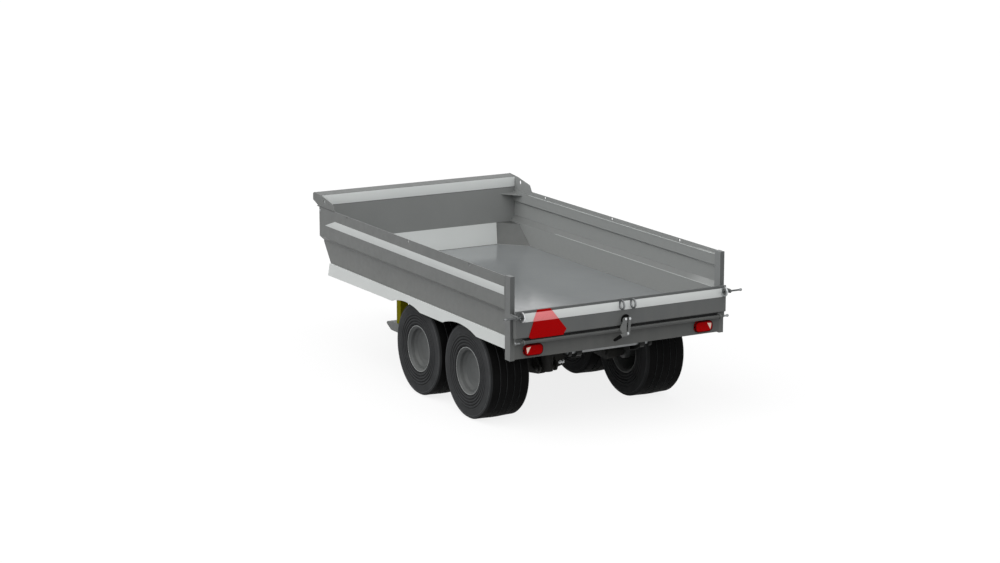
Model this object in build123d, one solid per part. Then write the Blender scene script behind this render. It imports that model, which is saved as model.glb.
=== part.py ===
"""Tandem farm dump trailer, in millimetres. X points forward to the tow eye, Y to the left, Z up from ground.

Stations along X are measured from the rear face of the rear posts and moved once, on export, so that the
part is centred over the origin.
"""
from build123d import *
import os
from collections import namedtuple

os.makedirs("parts", exist_ok=True)

# Load box: folded side walls on a flat floor
HALF_W = 1098.0
STEP_IN = 46.0
SHEET = 8.0
TOP_Z = 1468.0
BEVEL_TOP_Z = 1178.0
BEVEL_LOW_Z = 1132.0
FLOOR_Z = 928.0
FLOOR_T = 8.0
LOWER_HALF_W = HALF_W - STEP_IN
UNDER_Z = FLOOR_Z - FLOOR_T
BEAD_DEPTH = 18.0
BEAD_TOP = 38.0
BEAD_H = 96.0
BEAD_FOLD = 16.0
BEAD_LIP = 8.0
WALL_HOLE_R = 14.0
WALL_HOLE_DROP = 17.0
WALL_HOLES_X = (717.0, 1884.0, 3144.0)
OVERCUT = 100.0

# Front of the box: upright wall, sloped nose with cut corners, spill rail with its gussets
FRONT_WALL_X = 3757.0
NOSE_Z = 1116.0
NOSE_RUN = 151.0
NOSE_BACK_X = FRONT_WALL_X - NOSE_RUN
FACET_LONG = 256.0
FACET_WIDE = 238.0
FACET_LEAN = 1.10
FACET_T = 6.0
BRACE_DROP = 58.0
BRACE_LONG = 190.0
BRACE_WIDE = 140.0
SPILL_H = 124.0
SPILL_D = 144.0
SPILL_T = 6.0
SPILL_REAR_DROP = 15.0
SPILL_CROWN = 33.0
SPILL_FRONT_DROP = 14.0
SPILL_FRONT_LOW = 74.0
SPILL_FOOT = 5.0
GUSSET_LONG = 343.0
GUSSET_RISE = 40.0
GUSSET_TOP = 67.0
GUSSET_LAP = 2.0
GUSSET_ROUND = 18.0
GUSSET_HOLE_X = 117.0
GUSSET_HOLE_R = 20.0

# Rear of the box: posts, beam, lamps
POST_W = 45.0
POST_D = 88.0
POST_Z = 735.0
POST_RISE = 6.0
BEAM_D = 60.0
BEAM_Z = 746.0
BEAM_T = 6.0
LAMP_IN = 222.0
LAMP_Y = HALF_W - LAMP_IN
LAMP_Z = 818.0
LAMP_W = 190.0
LAMP_H = 104.0
LAMP_BASE = 16.0
LAMP_LENS = 10.0
LAMP_RIM = 11.0
LAMP_ROUND = 44.0

# Skirts under the lower walls
SKIRT_T = 16.0
SKIRT_LOW_Z = 812.0
SKIRT_TOP_Z = 926.0
SKIRT_GAP = 56.0
SKIRT_SLANT = 39.0
SKIRT_SAG = 14.0
ARCH_R = 900.0

# Tailgate, hung from rings on its rear face between the posts
GATE_X = -64.0
GATE_FACE_X = -12.0
GATE_SIDE_GAP = 20.0
GATE_HALF_W = HALF_W - GATE_SIDE_GAP
GATE_TOP_Z = 1180.0
GATE_TOP_IN = 18.0
GATE_TOP_H = 22.0
GATE_CHAMFER = 30.0
GATE_FOLD_Z = 944.0
GATE_LOW_Z = 900.0
GATE_FOLD_REAR = 22.0
GATE_FOLD_FRONT = 18.0
GATE_FOLD_RISE = 10.0
GATE_T = 8.0
GATE_HINGE_OUT = 40.0
GATE_HINGE_X = GATE_X - GATE_HINGE_OUT
GATE_HINGE_Z = 1134.0
GATE_PIN_R = 8.0
GATE_PIN_OUT = 118.0
GATE_PIN_LAP = 20.0
EAR_T = 12.0
EAR_R = 18.0
RING_R = 45.0
RING_BORE_R = 31.0
RING_T = 12.0
RING_WEB = 5.0
EYE_IN = 43.0
EYE_Y = GATE_HALF_W - EYE_IN
LOOPS_Y = (40.0, -75.0)
SHAFT_R = 15.0
SHAFT_OUT = 11.0
SHAFT_X = GATE_X - SHAFT_OUT
SHAFT_Z = 906.0
SPIGOT_R = 8.0
SPIGOT_L = 58.0
LUG_IN = 70.0
LUG_T = 12.0
LUG_RIM = 8.0
LUG_ROOT_R = 6.0
LATCH_D = 42.0
LATCH_T = 12.0
HANDLE_T = 8.0
SIGN_T = 6.0
SIGN_IN = 308.0
SIGN_Y = GATE_HALF_W - SIGN_IN
SIGN_TOP = GATE_TOP_Z - GATE_FOLD_Z - 2.0

# Bed underframe
SUB_LOW_Z = 788.0
SUB_Y = 300.0
SUB_W = 80.0
SUB_T = 8.0
SUB_FRONT_GAP = 46.0
RIB_T = 10.0
RIB_FIRST_X = 620.0
RIB_PITCH = 880.0
RIB_TIP_H = 24.0
RIB_ROOT_H = 120.0

# Running gear
TYRE_R = 437.0
TYRE_W = 404.0
TYRE_Y = 815.0
TYRE_GAP = 72.0
RIM_SEAT_R = 197.0
RIM_FLANGE_R = 217.0
RIM_W = 384.0
RIM_LIP = 8.0
RIM_T = 11.0
DISH_DEPTH = 82.0
DISC_T = 10.0
HUB_R = 66.0
HUB_REACH = 205.0
GROOVE_W = 12.0
GROOVE_D = 10.0
STUB_R = 30.0
COLLAR_R = 52.0
RUN_FIT = 0.05
REAR_AXLE_X = 916.0
FRONT_AXLE_X = REAR_AXLE_X + 2 * TYRE_R + TYRE_GAP
BOGIE_X = (REAR_AXLE_X + FRONT_AXLE_X) / 2
BOGIE_Z = 512.0
BOGIE_PIN_R = 35.0
ROCKER_Y = 465.0
ROCKER_W = 90.0
ROCKER_END_R = 66.0
ROCKER_MID_R = 88.0
HANGER_FOOT = 380.0
HANGER_W = 76.0
HANGER_R = 80.0

# Chassis frame and its tip hinge
RAIL_Y = 300.0
RAIL_W = 100.0
RAIL_T = 8.0
RAIL_LOW_Z = 620.0
RAIL_TOP_Z = 778.0
RAIL_REAR_X = 232.0
RAIL_FRONT_X = 3300.0
CROSS_INSET = 20.0
CROSS_LOW_Z = RAIL_LOW_Z + CROSS_INSET
CROSS_TOP_Z = RAIL_TOP_Z - CROSS_INSET
TIP_X = 170.0
TIP_Z = 700.0
TIP_PIN_R = 20.0
TIP_BEAM_W = 100.0
CHEEK_T = 50.0
CHEEK_R = 46.0
TIP_EAR_T = 25.0
TIP_EAR_GAP = 50.0
TIP_EAR_R = 40.0

# Lift cylinder: barrel on a cross pin, one middle stage, rod with a ball head in a socket under the bed
CYL_X = 1250.0
CYL_LOW_Z = 275.0
CYL_PIN_R = 20.0
CYL_HEEL = 35.0
BARREL_R = 62.0
BARREL_TOP_Z = 745.0
STAGE_R = 48.0
STAGE_LOW_Z = 310.0
STAGE_TOP_Z = 770.0
ROD_R = 36.0
BALL_R = 40.0
BALL_ROOM = 28.0
SOCKET_T = 8.0
SOCKET_PLATE_T = 12.0
SOCKET_PLATE_W = 200.0
CYL_TOP_Z = UNDER_Z - SOCKET_PLATE_T - BALL_ROOM - BALL_R
CRADLE_SETBACK = 100.0
CRADLE_T = 16.0
CRADLE_GAP = 18.0
CRADLE_LOW_Z = 190.0
CRADLE_SIDE_Z = 250.0
CRADLE_EYE_R = 43.0
CRADLE_HEEL = 30.0
CRADLE_CHEEK_H = 140.0
CRADLE_CHEEK_R = 10.0

# Drawbar and tow eye
BAR_LOW_Z = 430.0
BAR_TOP_Z = 590.0
BAR_GAP = 58.0
BAR_W = 60.0
BAR_T = 8.0
BAR_LAP = 640.0
DRAWBAR_REACH = 1649.0
EYE_X = RAIL_FRONT_X + DRAWBAR_REACH
EYE_Z = 470.0
EYE_R = 55.0
EYE_BORE_R = 25.0
EYE_T = 42.0
EYE_REACH = 149.0
EYE_PLATE_T = 22.0
EYE_PLATE_SHARE = 0.75
EYE_PLATE_DOWN = 35.0
EYE_PLATE_UP = 75.0
EYE_NECK = 45.0
HEAD_L = 100.0
HEAD_X = EYE_X - EYE_REACH
BAR_REAR_X = RAIL_FRONT_X - BAR_LAP

# Parking jack
JACK_SETBACK = 809.0
JACK_X = EYE_X - JACK_SETBACK
JACK_LEG = 88.0
JACK_TUBE_LOW_Z = 400.0
JACK_TUBE_TOP_Z = 1000.0
JACK_LEG_TOP_Z = 650.0
JACK_CAP_T = 8.0
FOOT_H = 92.0
FOOT_W = 120.0
FOOT_SEAT_Z = 60.0
FOOT_HEEL = 260.0
FOOT_TOE = 245.0
FOOT_EDGE = 14.0
FOOT_BACK = 34.0
TOE_RUN = 100.0
TOE_LOW_Z = 44.0
TOE_TIP_Z = 58.0
TOE_TOP_Z = 74.0

Side = namedtuple("Side", "name sign")
Axle = namedtuple("Axle", "name x")
Arch = namedtuple("Arch", "x top_z")
Cross = namedtuple("Cross", "x width")
Round = namedtuple("Round", "y up r")
Corner = namedtuple("Corner", "across up")

SIDES = (Side("left", 1), Side("right", -1))
AXLES = (Axle("rear", REAR_AXLE_X), Axle("front", FRONT_AXLE_X))
ARCHES = (Arch(REAR_AXLE_X + 54.0, 868.0), Arch(FRONT_AXLE_X + 138.0, 858.0))
CROSSES = (
    Cross(350.0, 100.0),
    Cross(CYL_X + CRADLE_SETBACK + 40.0, 80.0),
    Cross(2140.0, 80.0),
    Cross(BAR_REAR_X + 60.0, 80.0),
    Cross(RAIL_FRONT_X - 50.0, 100.0),
)
SIGN_CORNERS = (
    Corner(98.0, SIGN_TOP),
    Corner(-31.0, SIGN_TOP),
    Corner(-192.0, 36.0),
    Corner(-158.0, -14.0),
    Corner(160.0, -14.0),
    Corner(181.0, 2.0),
)
LATCH_BOSS = (Round(-13.0, 80.0, 24.0), Round(-29.0, 80.0, 24.0))
LATCH_PLATE = (
    Round(-1.0, 98.0, 14.0),
    Round(-43.0, 98.0, 14.0),
    Round(45.0, 12.0, 12.0),
    Round(6.0, -46.0, 12.0),
    Round(-32.0, -40.0, 12.0),
)
LATCH_SLOT = (Round(-22.0, 120.0, 8.0), Round(-17.0, -8.0, 8.0))
LATCH_HANDLE = (Round(20.0, -36.0, 15.0), Round(110.0, -74.0, 11.0))
REAR_X = min(GATE_HINGE_X - RING_R, GATE_X - LATCH_D - HANDLE_T)
FRONT_X = EYE_X + EYE_R
SHIFT_X = -(REAR_X + FRONT_X) / 2


def plate_x(points_yz, x_from, x_to):
    """A flat outline in Y and Z, carried along X."""
    face = Face(Wire.make_polygon([Vector(x_from, y, z) for y, z in points_yz], close=True))
    return extrude(face, amount=x_to - x_from, dir=(1, 0, 0))


def plate_y(points_xz, y_from, y_to, round_r=0.0, rounded=()):
    """A flat outline in X and Z, carried along Y; the numbered corners of the outline can be rounded."""
    face = Face(Wire.make_polygon([Vector(x, y_from, z) for x, z in points_xz], close=True))
    if rounded:
        marks = [Vector(points_xz[i][0], y_from, points_xz[i][1]) for i in rounded]
        corners = [v for v in face.vertices() if min((Vector(v) - m).length for m in marks) < 0.01]
        face = face.fillet_2d(round_r, corners)
    return extrude(face, amount=y_to - y_from, dir=(0, 1, 0))


def plate_z(points_xy, z_from, z_to):
    """A flat outline in X and Y, carried along Z."""
    face = Face(Wire.make_polygon([Vector(x, y, z_from) for x, y in points_xy], close=True))
    return extrude(face, amount=z_to - z_from, dir=(0, 0, 1))


def link_y(circles_xzr, y_from, y_to):
    """A link with tangent sides around circles in X and Z, carried along Y."""
    rounds = [Pos(x, z) * Circle(r) for x, z, r in circles_xzr]
    outline = make_hull([edge for circle in rounds for edge in circle.edges()])
    return extrude(Pos(0, y_from, 0) * (Plane.XZ * outline), amount=y_to - y_from, dir=(0, 1, 0))


def link_x(rounds_yzr, x_from, x_to):
    """A link with tangent sides around circles in Y and Z, carried along X."""
    rounds = [Pos(y, z) * Circle(r) for y, z, r in rounds_yzr]
    outline = make_hull([edge for circle in rounds for edge in circle.edges()])
    return extrude(Pos(x_from, 0, 0) * (Plane.YZ * outline), amount=x_to - x_from, dir=(1, 0, 0))


def block(x_from, x_to, y_from, y_to, z_from, z_to):
    """A straight block between two corners."""
    middle = Pos((x_from + x_to) / 2, (y_from + y_to) / 2, (z_from + z_to) / 2)
    return middle * Box(abs(x_to - x_from), abs(y_to - y_from), abs(z_to - z_from))


def tube_x(x_from, x_to, y_from, y_to, z_from, z_to, wall):
    """A rectangular tube along X, open at the rear and closed by its own wall at the front."""
    low_y, high_y = sorted((y_from, y_to))
    room = block(x_from - 1, x_to - wall, low_y + wall, high_y - wall, z_from + wall, z_to - wall)
    return block(x_from, x_to, y_from, y_to, z_from, z_to) - room


def bar_y(x, z, radius, y_from, y_to):
    """A round bar along Y."""
    return Pos(x, (y_from + y_to) / 2, z) * Rot(90, 0, 0) * Cylinder(radius, abs(y_to - y_from))


def bar_z(x, y, radius, z_from, z_to):
    """A round bar along Z."""
    return Pos(x, y, (z_from + z_to) / 2) * Cylinder(radius, abs(z_to - z_from))


def mirror_y(shape):
    """The same piece on the right-hand side."""
    return mirror(shape, about=Plane.XZ)


def ring_y(profile_ra, x, y, z):
    """A ring turned about an axle along Y; the outline gives radius and distance outward along the axle."""
    face = Face(Wire.make_polygon([Vector(r, 0, a) for r, a in profile_ra], close=True))
    return Pos(x, y, z) * Rot(-90, 0, 0) * revolve(face, axis=Axis.Z)


parts = {}


def pair(name, left):
    """Keep a piece of the left side and its mirror image on the right."""
    parts[name + "_left"] = left
    parts[name + "_right"] = mirror_y(left)


# Side walls: one folded sheet, stepped in at the bevel, with a stiffening bead inside under the top edge
wall_outer = [(HALF_W, TOP_Z), (HALF_W, BEVEL_TOP_Z), (LOWER_HALF_W, BEVEL_LOW_Z), (LOWER_HALF_W, UNDER_Z)]
BEAD_TOP_Z = TOP_Z - BEAD_TOP
BEAD_LOW_Z = BEAD_TOP_Z - BEAD_H
INNER_W = HALF_W - SHEET
INNER_LOWER_W = LOWER_HALF_W - SHEET
FOLD_SHIFT = SHEET * 0.4
wall_inner = [
    (INNER_LOWER_W, UNDER_Z),
    (INNER_LOWER_W, BEVEL_LOW_Z + FOLD_SHIFT),
    (INNER_W, BEVEL_TOP_Z + FOLD_SHIFT),
    (INNER_W, BEAD_LOW_Z - BEAD_FOLD),
    (INNER_W - BEAD_DEPTH, BEAD_LOW_Z),
    (INNER_W - BEAD_DEPTH, BEAD_TOP_Z),
    (INNER_W, BEAD_TOP_Z + BEAD_LIP),
    (INNER_W, TOP_Z),
]
wall = plate_x(wall_outer + wall_inner, POST_D, FRONT_WALL_X)
nose_cut = plate_y(
    [
        (FRONT_WALL_X, NOSE_Z),
        (NOSE_BACK_X, UNDER_Z),
        (NOSE_BACK_X, UNDER_Z - OVERCUT),
        (FRONT_WALL_X + OVERCUT, UNDER_Z - OVERCUT),
        (FRONT_WALL_X + OVERCUT, NOSE_Z),
    ],
    LOWER_HALF_W - OVERCUT,
    HALF_W + OVERCUT,
)
front_back_x = FRONT_WALL_X - SHEET
bead_end = block(front_back_x, FRONT_WALL_X + 1, LOWER_HALF_W, INNER_W, BEVEL_TOP_Z + SHEET, TOP_Z + 1)
wall = wall - nose_cut - bead_end
for hole_x in WALL_HOLES_X:
    wall = wall - bar_y(hole_x, TOP_Z - WALL_HOLE_DROP, WALL_HOLE_R, INNER_W - BEAD_DEPTH - 1, HALF_W + 1)
pair("wall", wall)

# Front wall: upright above, sloped back to the floor below, with a flat brace across each upper corner
slope_top_z = NOSE_Z + FOLD_SHIFT
front_outline = [
    (front_back_x, TOP_Z),
    (FRONT_WALL_X, TOP_Z),
    (FRONT_WALL_X, NOSE_Z),
    (NOSE_BACK_X, UNDER_Z),
    (NOSE_BACK_X, FLOOR_Z),
    (front_back_x, slope_top_z),
]
front = plate_y(front_outline, -INNER_W, INNER_W)
side_trim = plate_x(
    [
        (INNER_LOWER_W, UNDER_Z - OVERCUT),
        (INNER_LOWER_W, BEVEL_LOW_Z + FOLD_SHIFT),
        (INNER_W, BEVEL_TOP_Z + FOLD_SHIFT),
        (HALF_W + OVERCUT, BEVEL_TOP_Z + FOLD_SHIFT),
        (HALF_W + OVERCUT, UNDER_Z - OVERCUT),
    ],
    NOSE_BACK_X - OVERCUT,
    FRONT_WALL_X + OVERCUT,
)
front = front - side_trim - mirror_y(side_trim)
brace_y = INNER_W - BEAD_DEPTH
brace_outline = [
    (front_back_x, brace_y - BRACE_WIDE),
    (front_back_x, brace_y),
    (front_back_x - BRACE_LONG, brace_y),
]
brace = plate_z(brace_outline, TOP_Z - BRACE_DROP - FACET_T, TOP_Z - BRACE_DROP)
parts["front_wall"] = front + brace + mirror_y(brace)

# Cut corners of the nose: a slanted facet and its small cap close each lower front corner
facet_room = plate_y(
    [
        (NOSE_BACK_X - 2 * FACET_LONG, UNDER_Z),
        (NOSE_BACK_X, UNDER_Z),
        (NOSE_BACK_X, FLOOR_Z),
        (front_back_x, slope_top_z),
        (NOSE_BACK_X - 2 * FACET_LONG, slope_top_z),
    ],
    0,
    INNER_LOWER_W,
)
facet_foot = Vector(NOSE_BACK_X - FACET_LONG, INNER_LOWER_W, FLOOR_Z)
facet_slope = 2 * FACET_LEAN / (FACET_LONG + FACET_WIDE)
facet_plane = Plane(facet_foot, z_dir=Vector(1 / FACET_LONG, 1 / FACET_WIDE, -facet_slope).normalized())
half_space = Rectangle(FRONT_WALL_X, FRONT_WALL_X)
behind = extrude(facet_plane * half_space, amount=FRONT_WALL_X)
behind_inner = extrude(facet_plane.offset(FACET_T) * half_space, amount=FRONT_WALL_X)
pocket = (facet_room & behind_inner) - block(0, FRONT_WALL_X, 0, HALF_W, slope_top_z - FACET_T, TOP_Z)
pair("nose_corner", (facet_room & behind) - pocket)

# Floor, a flat plate between the lower walls, its front corners cut along the facets
floor = block(BEAM_D, NOSE_BACK_X, -INNER_LOWER_W, INNER_LOWER_W, UNDER_Z, FLOOR_Z)
parts["bed_floor"] = floor - behind - mirror_y(behind)

# Spill rail over the front wall, a hollow folded section closed by a gusset plate at each end
rail_rear = front_back_x
rail_front = rail_rear + SPILL_D
rail_top = TOP_Z + SPILL_H
rail_outline = [
    (rail_rear, TOP_Z),
    (rail_rear, rail_top - SPILL_REAR_DROP),
    (rail_front - SPILL_CROWN, rail_top),
    (rail_front, rail_top - SPILL_FRONT_DROP),
    (rail_front, rail_top - SPILL_FRONT_LOW),
    (FRONT_WALL_X + SPILL_FOOT, TOP_Z),
]
room_outline = [
    (rail_rear + SPILL_T, TOP_Z + SPILL_T),
    (rail_rear + SPILL_T, rail_top - SPILL_REAR_DROP - SPILL_T),
    (rail_front - SPILL_CROWN, rail_top - 1.1 * SPILL_T),
    (rail_front - SPILL_T, rail_top - SPILL_FRONT_DROP - SPILL_T / 2),
    (rail_front - SPILL_T, rail_top - SPILL_FRONT_LOW + SPILL_T / 2),
    (FRONT_WALL_X + SPILL_FOOT - SPILL_T / 3, TOP_Z + SPILL_T),
]
spill = plate_y(rail_outline, -INNER_W, INNER_W)
parts["headboard"] = spill - plate_y(room_outline, SPILL_T - INNER_W, INNER_W - SPILL_T)
gusset_rear = FRONT_WALL_X - GUSSET_LONG
gusset = plate_y(
    [
        (gusset_rear, TOP_Z),
        (gusset_rear + GUSSET_RISE, TOP_Z + SPILL_H / 2),
        (FRONT_WALL_X - GUSSET_TOP, rail_top - SPILL_REAR_DROP),
        (rail_front - SPILL_CROWN, rail_top + GUSSET_LAP),
        (rail_front + GUSSET_LAP, rail_top - SPILL_FRONT_DROP + GUSSET_LAP),
        (rail_front + GUSSET_LAP, rail_top - SPILL_FRONT_LOW - GUSSET_LAP),
        (FRONT_WALL_X + SPILL_FOOT + GUSSET_LAP, TOP_Z),
    ],
    INNER_W,
    HALF_W,
    GUSSET_ROUND,
    (1, 3, 4),
)
gusset_hole = bar_y(FRONT_WALL_X - GUSSET_HOLE_X, TOP_Z + SPILL_H / 2, GUSSET_HOLE_R, INNER_W - 1, HALF_W + 1)
pair("gusset", gusset - gusset_hole)

# Rear posts with the gate's hinge ears, and the channel beam between them
post = block(0, POST_D, HALF_W - POST_W, HALF_W, POST_Z, TOP_Z + POST_RISE)
ear = link_y([(GATE_HINGE_X, GATE_HINGE_Z, EAR_R), (EAR_R, GATE_HINGE_Z, EAR_R)], HALF_W - EAR_T, HALF_W)
post = post + ear - bar_y(GATE_HINGE_X, GATE_HINGE_Z, GATE_PIN_R, HALF_W - POST_W, HALF_W + 1)
pair("post", post)
beam_half = HALF_W - POST_W
room_half = beam_half - BEAM_T
beam_room = block(BEAM_T, BEAM_D + 1, -room_half, room_half, BEAM_Z + BEAM_T, FLOOR_Z - BEAM_T)
parts["rear_beam"] = block(0, BEAM_D, -beam_half, beam_half, BEAM_Z, FLOOR_Z) - beam_room

# Rear lamps: a rounded base with a raised lens
lamp_plane = Plane((0, LAMP_Y, LAMP_Z), x_dir=(0, -1, 0), z_dir=(-1, 0, 0))
lamp_base = RectangleRounded(LAMP_W, LAMP_H, LAMP_ROUND)
lamp_lens = RectangleRounded(LAMP_W - 2 * LAMP_RIM, LAMP_H - 2 * LAMP_RIM, LAMP_ROUND - LAMP_RIM)
lamp = extrude(lamp_plane * lamp_base, amount=LAMP_BASE)
pair("lamp", lamp + extrude(lamp_plane * lamp_lens, amount=LAMP_BASE + LAMP_LENS))

# Side skirts with a shallow arch over each wheel
skirt = plate_y(
    [
        (POST_D + SKIRT_GAP, SKIRT_TOP_Z),
        (NOSE_BACK_X, SKIRT_TOP_Z),
        (NOSE_BACK_X + SKIRT_SLANT, SKIRT_LOW_Z - SKIRT_SAG),
        (ARCHES[1].x + ARCH_R / 2, SKIRT_LOW_Z),
        (POST_D + SKIRT_GAP, SKIRT_LOW_Z),
    ],
    LOWER_HALF_W,
    LOWER_HALF_W + SKIRT_T,
)
for arch in ARCHES:
    skirt = skirt - bar_y(arch.x, arch.top_z - ARCH_R, ARCH_R, LOWER_HALF_W - 1, LOWER_HALF_W + SKIRT_T + 1)
pair("skirt", skirt)

# Bed underframe: rear hinge beam with its ears, two hollow rails, tapered ribs and the socket plate
SUB_FRONT_X = NOSE_BACK_X - SUB_FRONT_GAP
sub_in = SUB_Y - SUB_W / 2
sub_out = SUB_Y + SUB_W / 2
ear_in = RAIL_Y + RAIL_W / 2 + TIP_EAR_GAP
ear_out = ear_in + TIP_EAR_T
tip_rear = TIP_X - TIP_BEAM_W / 2
tip_front = TIP_X + TIP_BEAM_W / 2
sub = block(tip_rear, tip_front, -ear_out, ear_out, SUB_LOW_Z, UNDER_Z)
room_half = ear_out - SUB_T
sub = sub - block(tip_rear + SUB_T, tip_front - SUB_T, -room_half, room_half, SUB_LOW_Z - 1, UNDER_Z - SUB_T)
tip_ear_rounds = [(TIP_X, TIP_Z, TIP_EAR_R), (TIP_X, SUB_LOW_Z + TIP_EAR_R, TIP_BEAM_W / 2)]
floor_side = block(tip_rear, tip_front, -ear_out - 1, ear_out + 1, UNDER_Z - SUB_T, FLOOR_Z)
ribs_x = []
rib_x = RIB_FIRST_X
while rib_x < SUB_FRONT_X - SUB_W:
    ribs_x.append(rib_x)
    rib_x += RIB_PITCH
half_rib = RIB_T / 2
for side in SIDES:
    s = side.sign
    sub = sub + tube_x(tip_front - SUB_T, SUB_FRONT_X, s * sub_in, s * sub_out, SUB_LOW_Z, UNDER_Z, SUB_T)
    sub = sub + (link_y(tip_ear_rounds, s * ear_in, s * ear_out) - floor_side)
    for x in ribs_x:
        rib = [
            (s * sub_out, UNDER_Z),
            (s * INNER_LOWER_W, UNDER_Z),
            (s * INNER_LOWER_W, UNDER_Z - RIB_TIP_H),
            (s * sub_out, UNDER_Z - RIB_ROOT_H),
        ]
        sub = sub + plate_x(rib, x - half_rib, x + half_rib)
for x in ribs_x:
    sub = sub + block(x - half_rib, x + half_rib, -sub_in, sub_in, UNDER_Z - RIB_ROOT_H * 0.75, UNDER_Z)
sub = sub + block(SUB_FRONT_X - SUB_T, SUB_FRONT_X, -sub_in, sub_in, SUB_LOW_Z, UNDER_Z)
half_plate = SOCKET_PLATE_W / 2
sub = sub + block(CYL_X - half_plate, CYL_X + half_plate, -sub_in, sub_in, UNDER_Z - SOCKET_PLATE_T, UNDER_Z)
sub = sub - bar_y(TIP_X, TIP_Z, TIP_PIN_R + RUN_FIT, -ear_out - 1, ear_out + 1)
parts["bed_underframe"] = sub

# Socket that the rod's ball head lifts in
socket_r = BALL_R + BALL_ROOM
socket_low_z = CYL_TOP_Z - 4
socket = bar_z(CYL_X, 0, socket_r + SOCKET_T, socket_low_z, UNDER_Z - SOCKET_PLATE_T)
parts["lift_socket"] = socket - bar_z(CYL_X, 0, socket_r, socket_low_z - 1, UNDER_Z)

# Chassis frame: two hollow rails and cross members welded into one frame, with the tip hinge's cheeks
rail_in = RAIL_Y - RAIL_W / 2
rail_out = RAIL_Y + RAIL_W / 2
frame = None
for side in SIDES:
    s = side.sign
    rail = tube_x(RAIL_REAR_X, RAIL_FRONT_X, s * rail_in, s * rail_out, RAIL_LOW_Z, RAIL_TOP_Z, RAIL_T)
    heel_x = RAIL_REAR_X + CHEEK_R
    cheek = link_y(
        [(TIP_X, TIP_Z, CHEEK_R), (heel_x, RAIL_TOP_Z - 20, 20), (heel_x, RAIL_LOW_Z + 20, 20)],
        s * (rail_out - CHEEK_T),
        s * rail_out,
    )
    frame = rail + cheek if frame is None else frame + rail + cheek
for cross in CROSSES:
    half_cross = cross.width / 2
    half_room = half_cross - RAIL_T
    box = block(cross.x - half_cross, cross.x + half_cross, -rail_in, rail_in, CROSS_LOW_Z, CROSS_TOP_Z)
    room_low, room_top = CROSS_LOW_Z + RAIL_T, CROSS_TOP_Z - RAIL_T
    room = block(cross.x - half_room, cross.x + half_room, -rail_in, rail_in, room_low, room_top)
    frame = frame + (box - room)
parts["chassis_frame"] = frame - bar_y(TIP_X, TIP_Z, TIP_PIN_R, -ear_out, ear_out)
pin_end = ear_out + TIP_EAR_T / 2
parts["tip_pin"] = bar_y(TIP_X, TIP_Z, TIP_PIN_R, -pin_end, pin_end)

# Drawbar: two hollow beams side by side, carried under the cross members and closed by a head for the tow eye
bar_out = BAR_GAP + BAR_W
bar = block(HEAD_X - HEAD_L, HEAD_X, -BAR_GAP, BAR_GAP, BAR_LOW_Z, BAR_TOP_Z)
for side in SIDES:
    s = side.sign
    bar = bar + tube_x(BAR_REAR_X, HEAD_X, s * BAR_GAP, s * bar_out, BAR_LOW_Z, BAR_TOP_Z, BAR_T)
    for cross in CROSSES[3:]:
        saddle_rear, saddle_front = cross.x - cross.width / 2, cross.x + cross.width / 2
        bar = bar + block(saddle_rear, saddle_front, s * BAR_GAP, s * bar_out, BAR_TOP_Z, CROSS_LOW_Z)
yoke = CROSSES[4]
yoke_rear, yoke_front = yoke.x - yoke.width / 2, yoke.x + yoke.width / 2
bar = bar + block(yoke_rear, yoke_front, -rail_out, rail_out, BAR_TOP_Z, RAIL_LOW_Z)
tie = CROSSES[3]
bar = bar + block(tie.x - tie.width / 2, tie.x + tie.width / 2, -BAR_GAP, BAR_GAP, BAR_LOW_Z, BAR_TOP_Z)
parts["drawbar"] = bar
half_eye = EYE_T / 2
eye = bar_z(EYE_X, 0, EYE_R, EYE_Z - half_eye, EYE_Z + half_eye)
eye = eye + block(HEAD_X, EYE_X, -EYE_NECK, EYE_NECK, EYE_Z - half_eye, EYE_Z + half_eye)
half_plate = bar_out * EYE_PLATE_SHARE
plate_low_z, plate_top_z = EYE_Z - EYE_PLATE_DOWN, EYE_Z + EYE_PLATE_UP
eye = eye + block(HEAD_X, HEAD_X + EYE_PLATE_T, -half_plate, half_plate, plate_low_z, plate_top_z)
parts["tow_eye"] = eye - bar_z(EYE_X, 0, EYE_BORE_R, EYE_Z - EYE_T, EYE_Z + EYE_T)

# Parking jack: fixed square tube between the drawbar beams, leg and skid foot below
half_leg = JACK_LEG / 2
half_bore = half_leg + 2 * RUN_FIT
tube = block(JACK_X - BAR_GAP, JACK_X + BAR_GAP, -BAR_GAP, BAR_GAP, JACK_TUBE_LOW_Z, JACK_TUBE_TOP_Z)
bore_top_z = JACK_TUBE_TOP_Z - JACK_CAP_T
bore_rear, bore_front = JACK_X - half_bore, JACK_X + half_bore
bore = block(bore_rear, bore_front, -half_bore, half_bore, JACK_TUBE_LOW_Z - 1, bore_top_z)
parts["jack_tube"] = tube - bore
leg_rear, leg_front = JACK_X - half_leg, JACK_X + half_leg
parts["jack_leg"] = block(leg_rear, leg_front, -half_leg, half_leg, FOOT_SEAT_Z, JACK_LEG_TOP_Z)
foot_heel_x = JACK_X - FOOT_HEEL
foot_toe_x = JACK_X + FOOT_TOE
foot = plate_y(
    [
        (foot_heel_x, FOOT_EDGE),
        (foot_heel_x + FOOT_EDGE, 0),
        (foot_toe_x - TOE_RUN, 0),
        (foot_toe_x - FOOT_EDGE, TOE_LOW_Z),
        (foot_toe_x, TOE_TIP_Z),
        (foot_toe_x - FOOT_EDGE, TOE_TOP_Z),
        (JACK_X + FOOT_TOE / 2, FOOT_H),
        (JACK_X - BAR_GAP, FOOT_H),
        (foot_heel_x + FOOT_EDGE, FOOT_BACK),
    ],
    -FOOT_W / 2,
    FOOT_W / 2,
)
parts["jack_foot"] = foot - block(leg_rear, leg_front, -half_leg, half_leg, FOOT_SEAT_Z, FOOT_H + 1)

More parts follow.
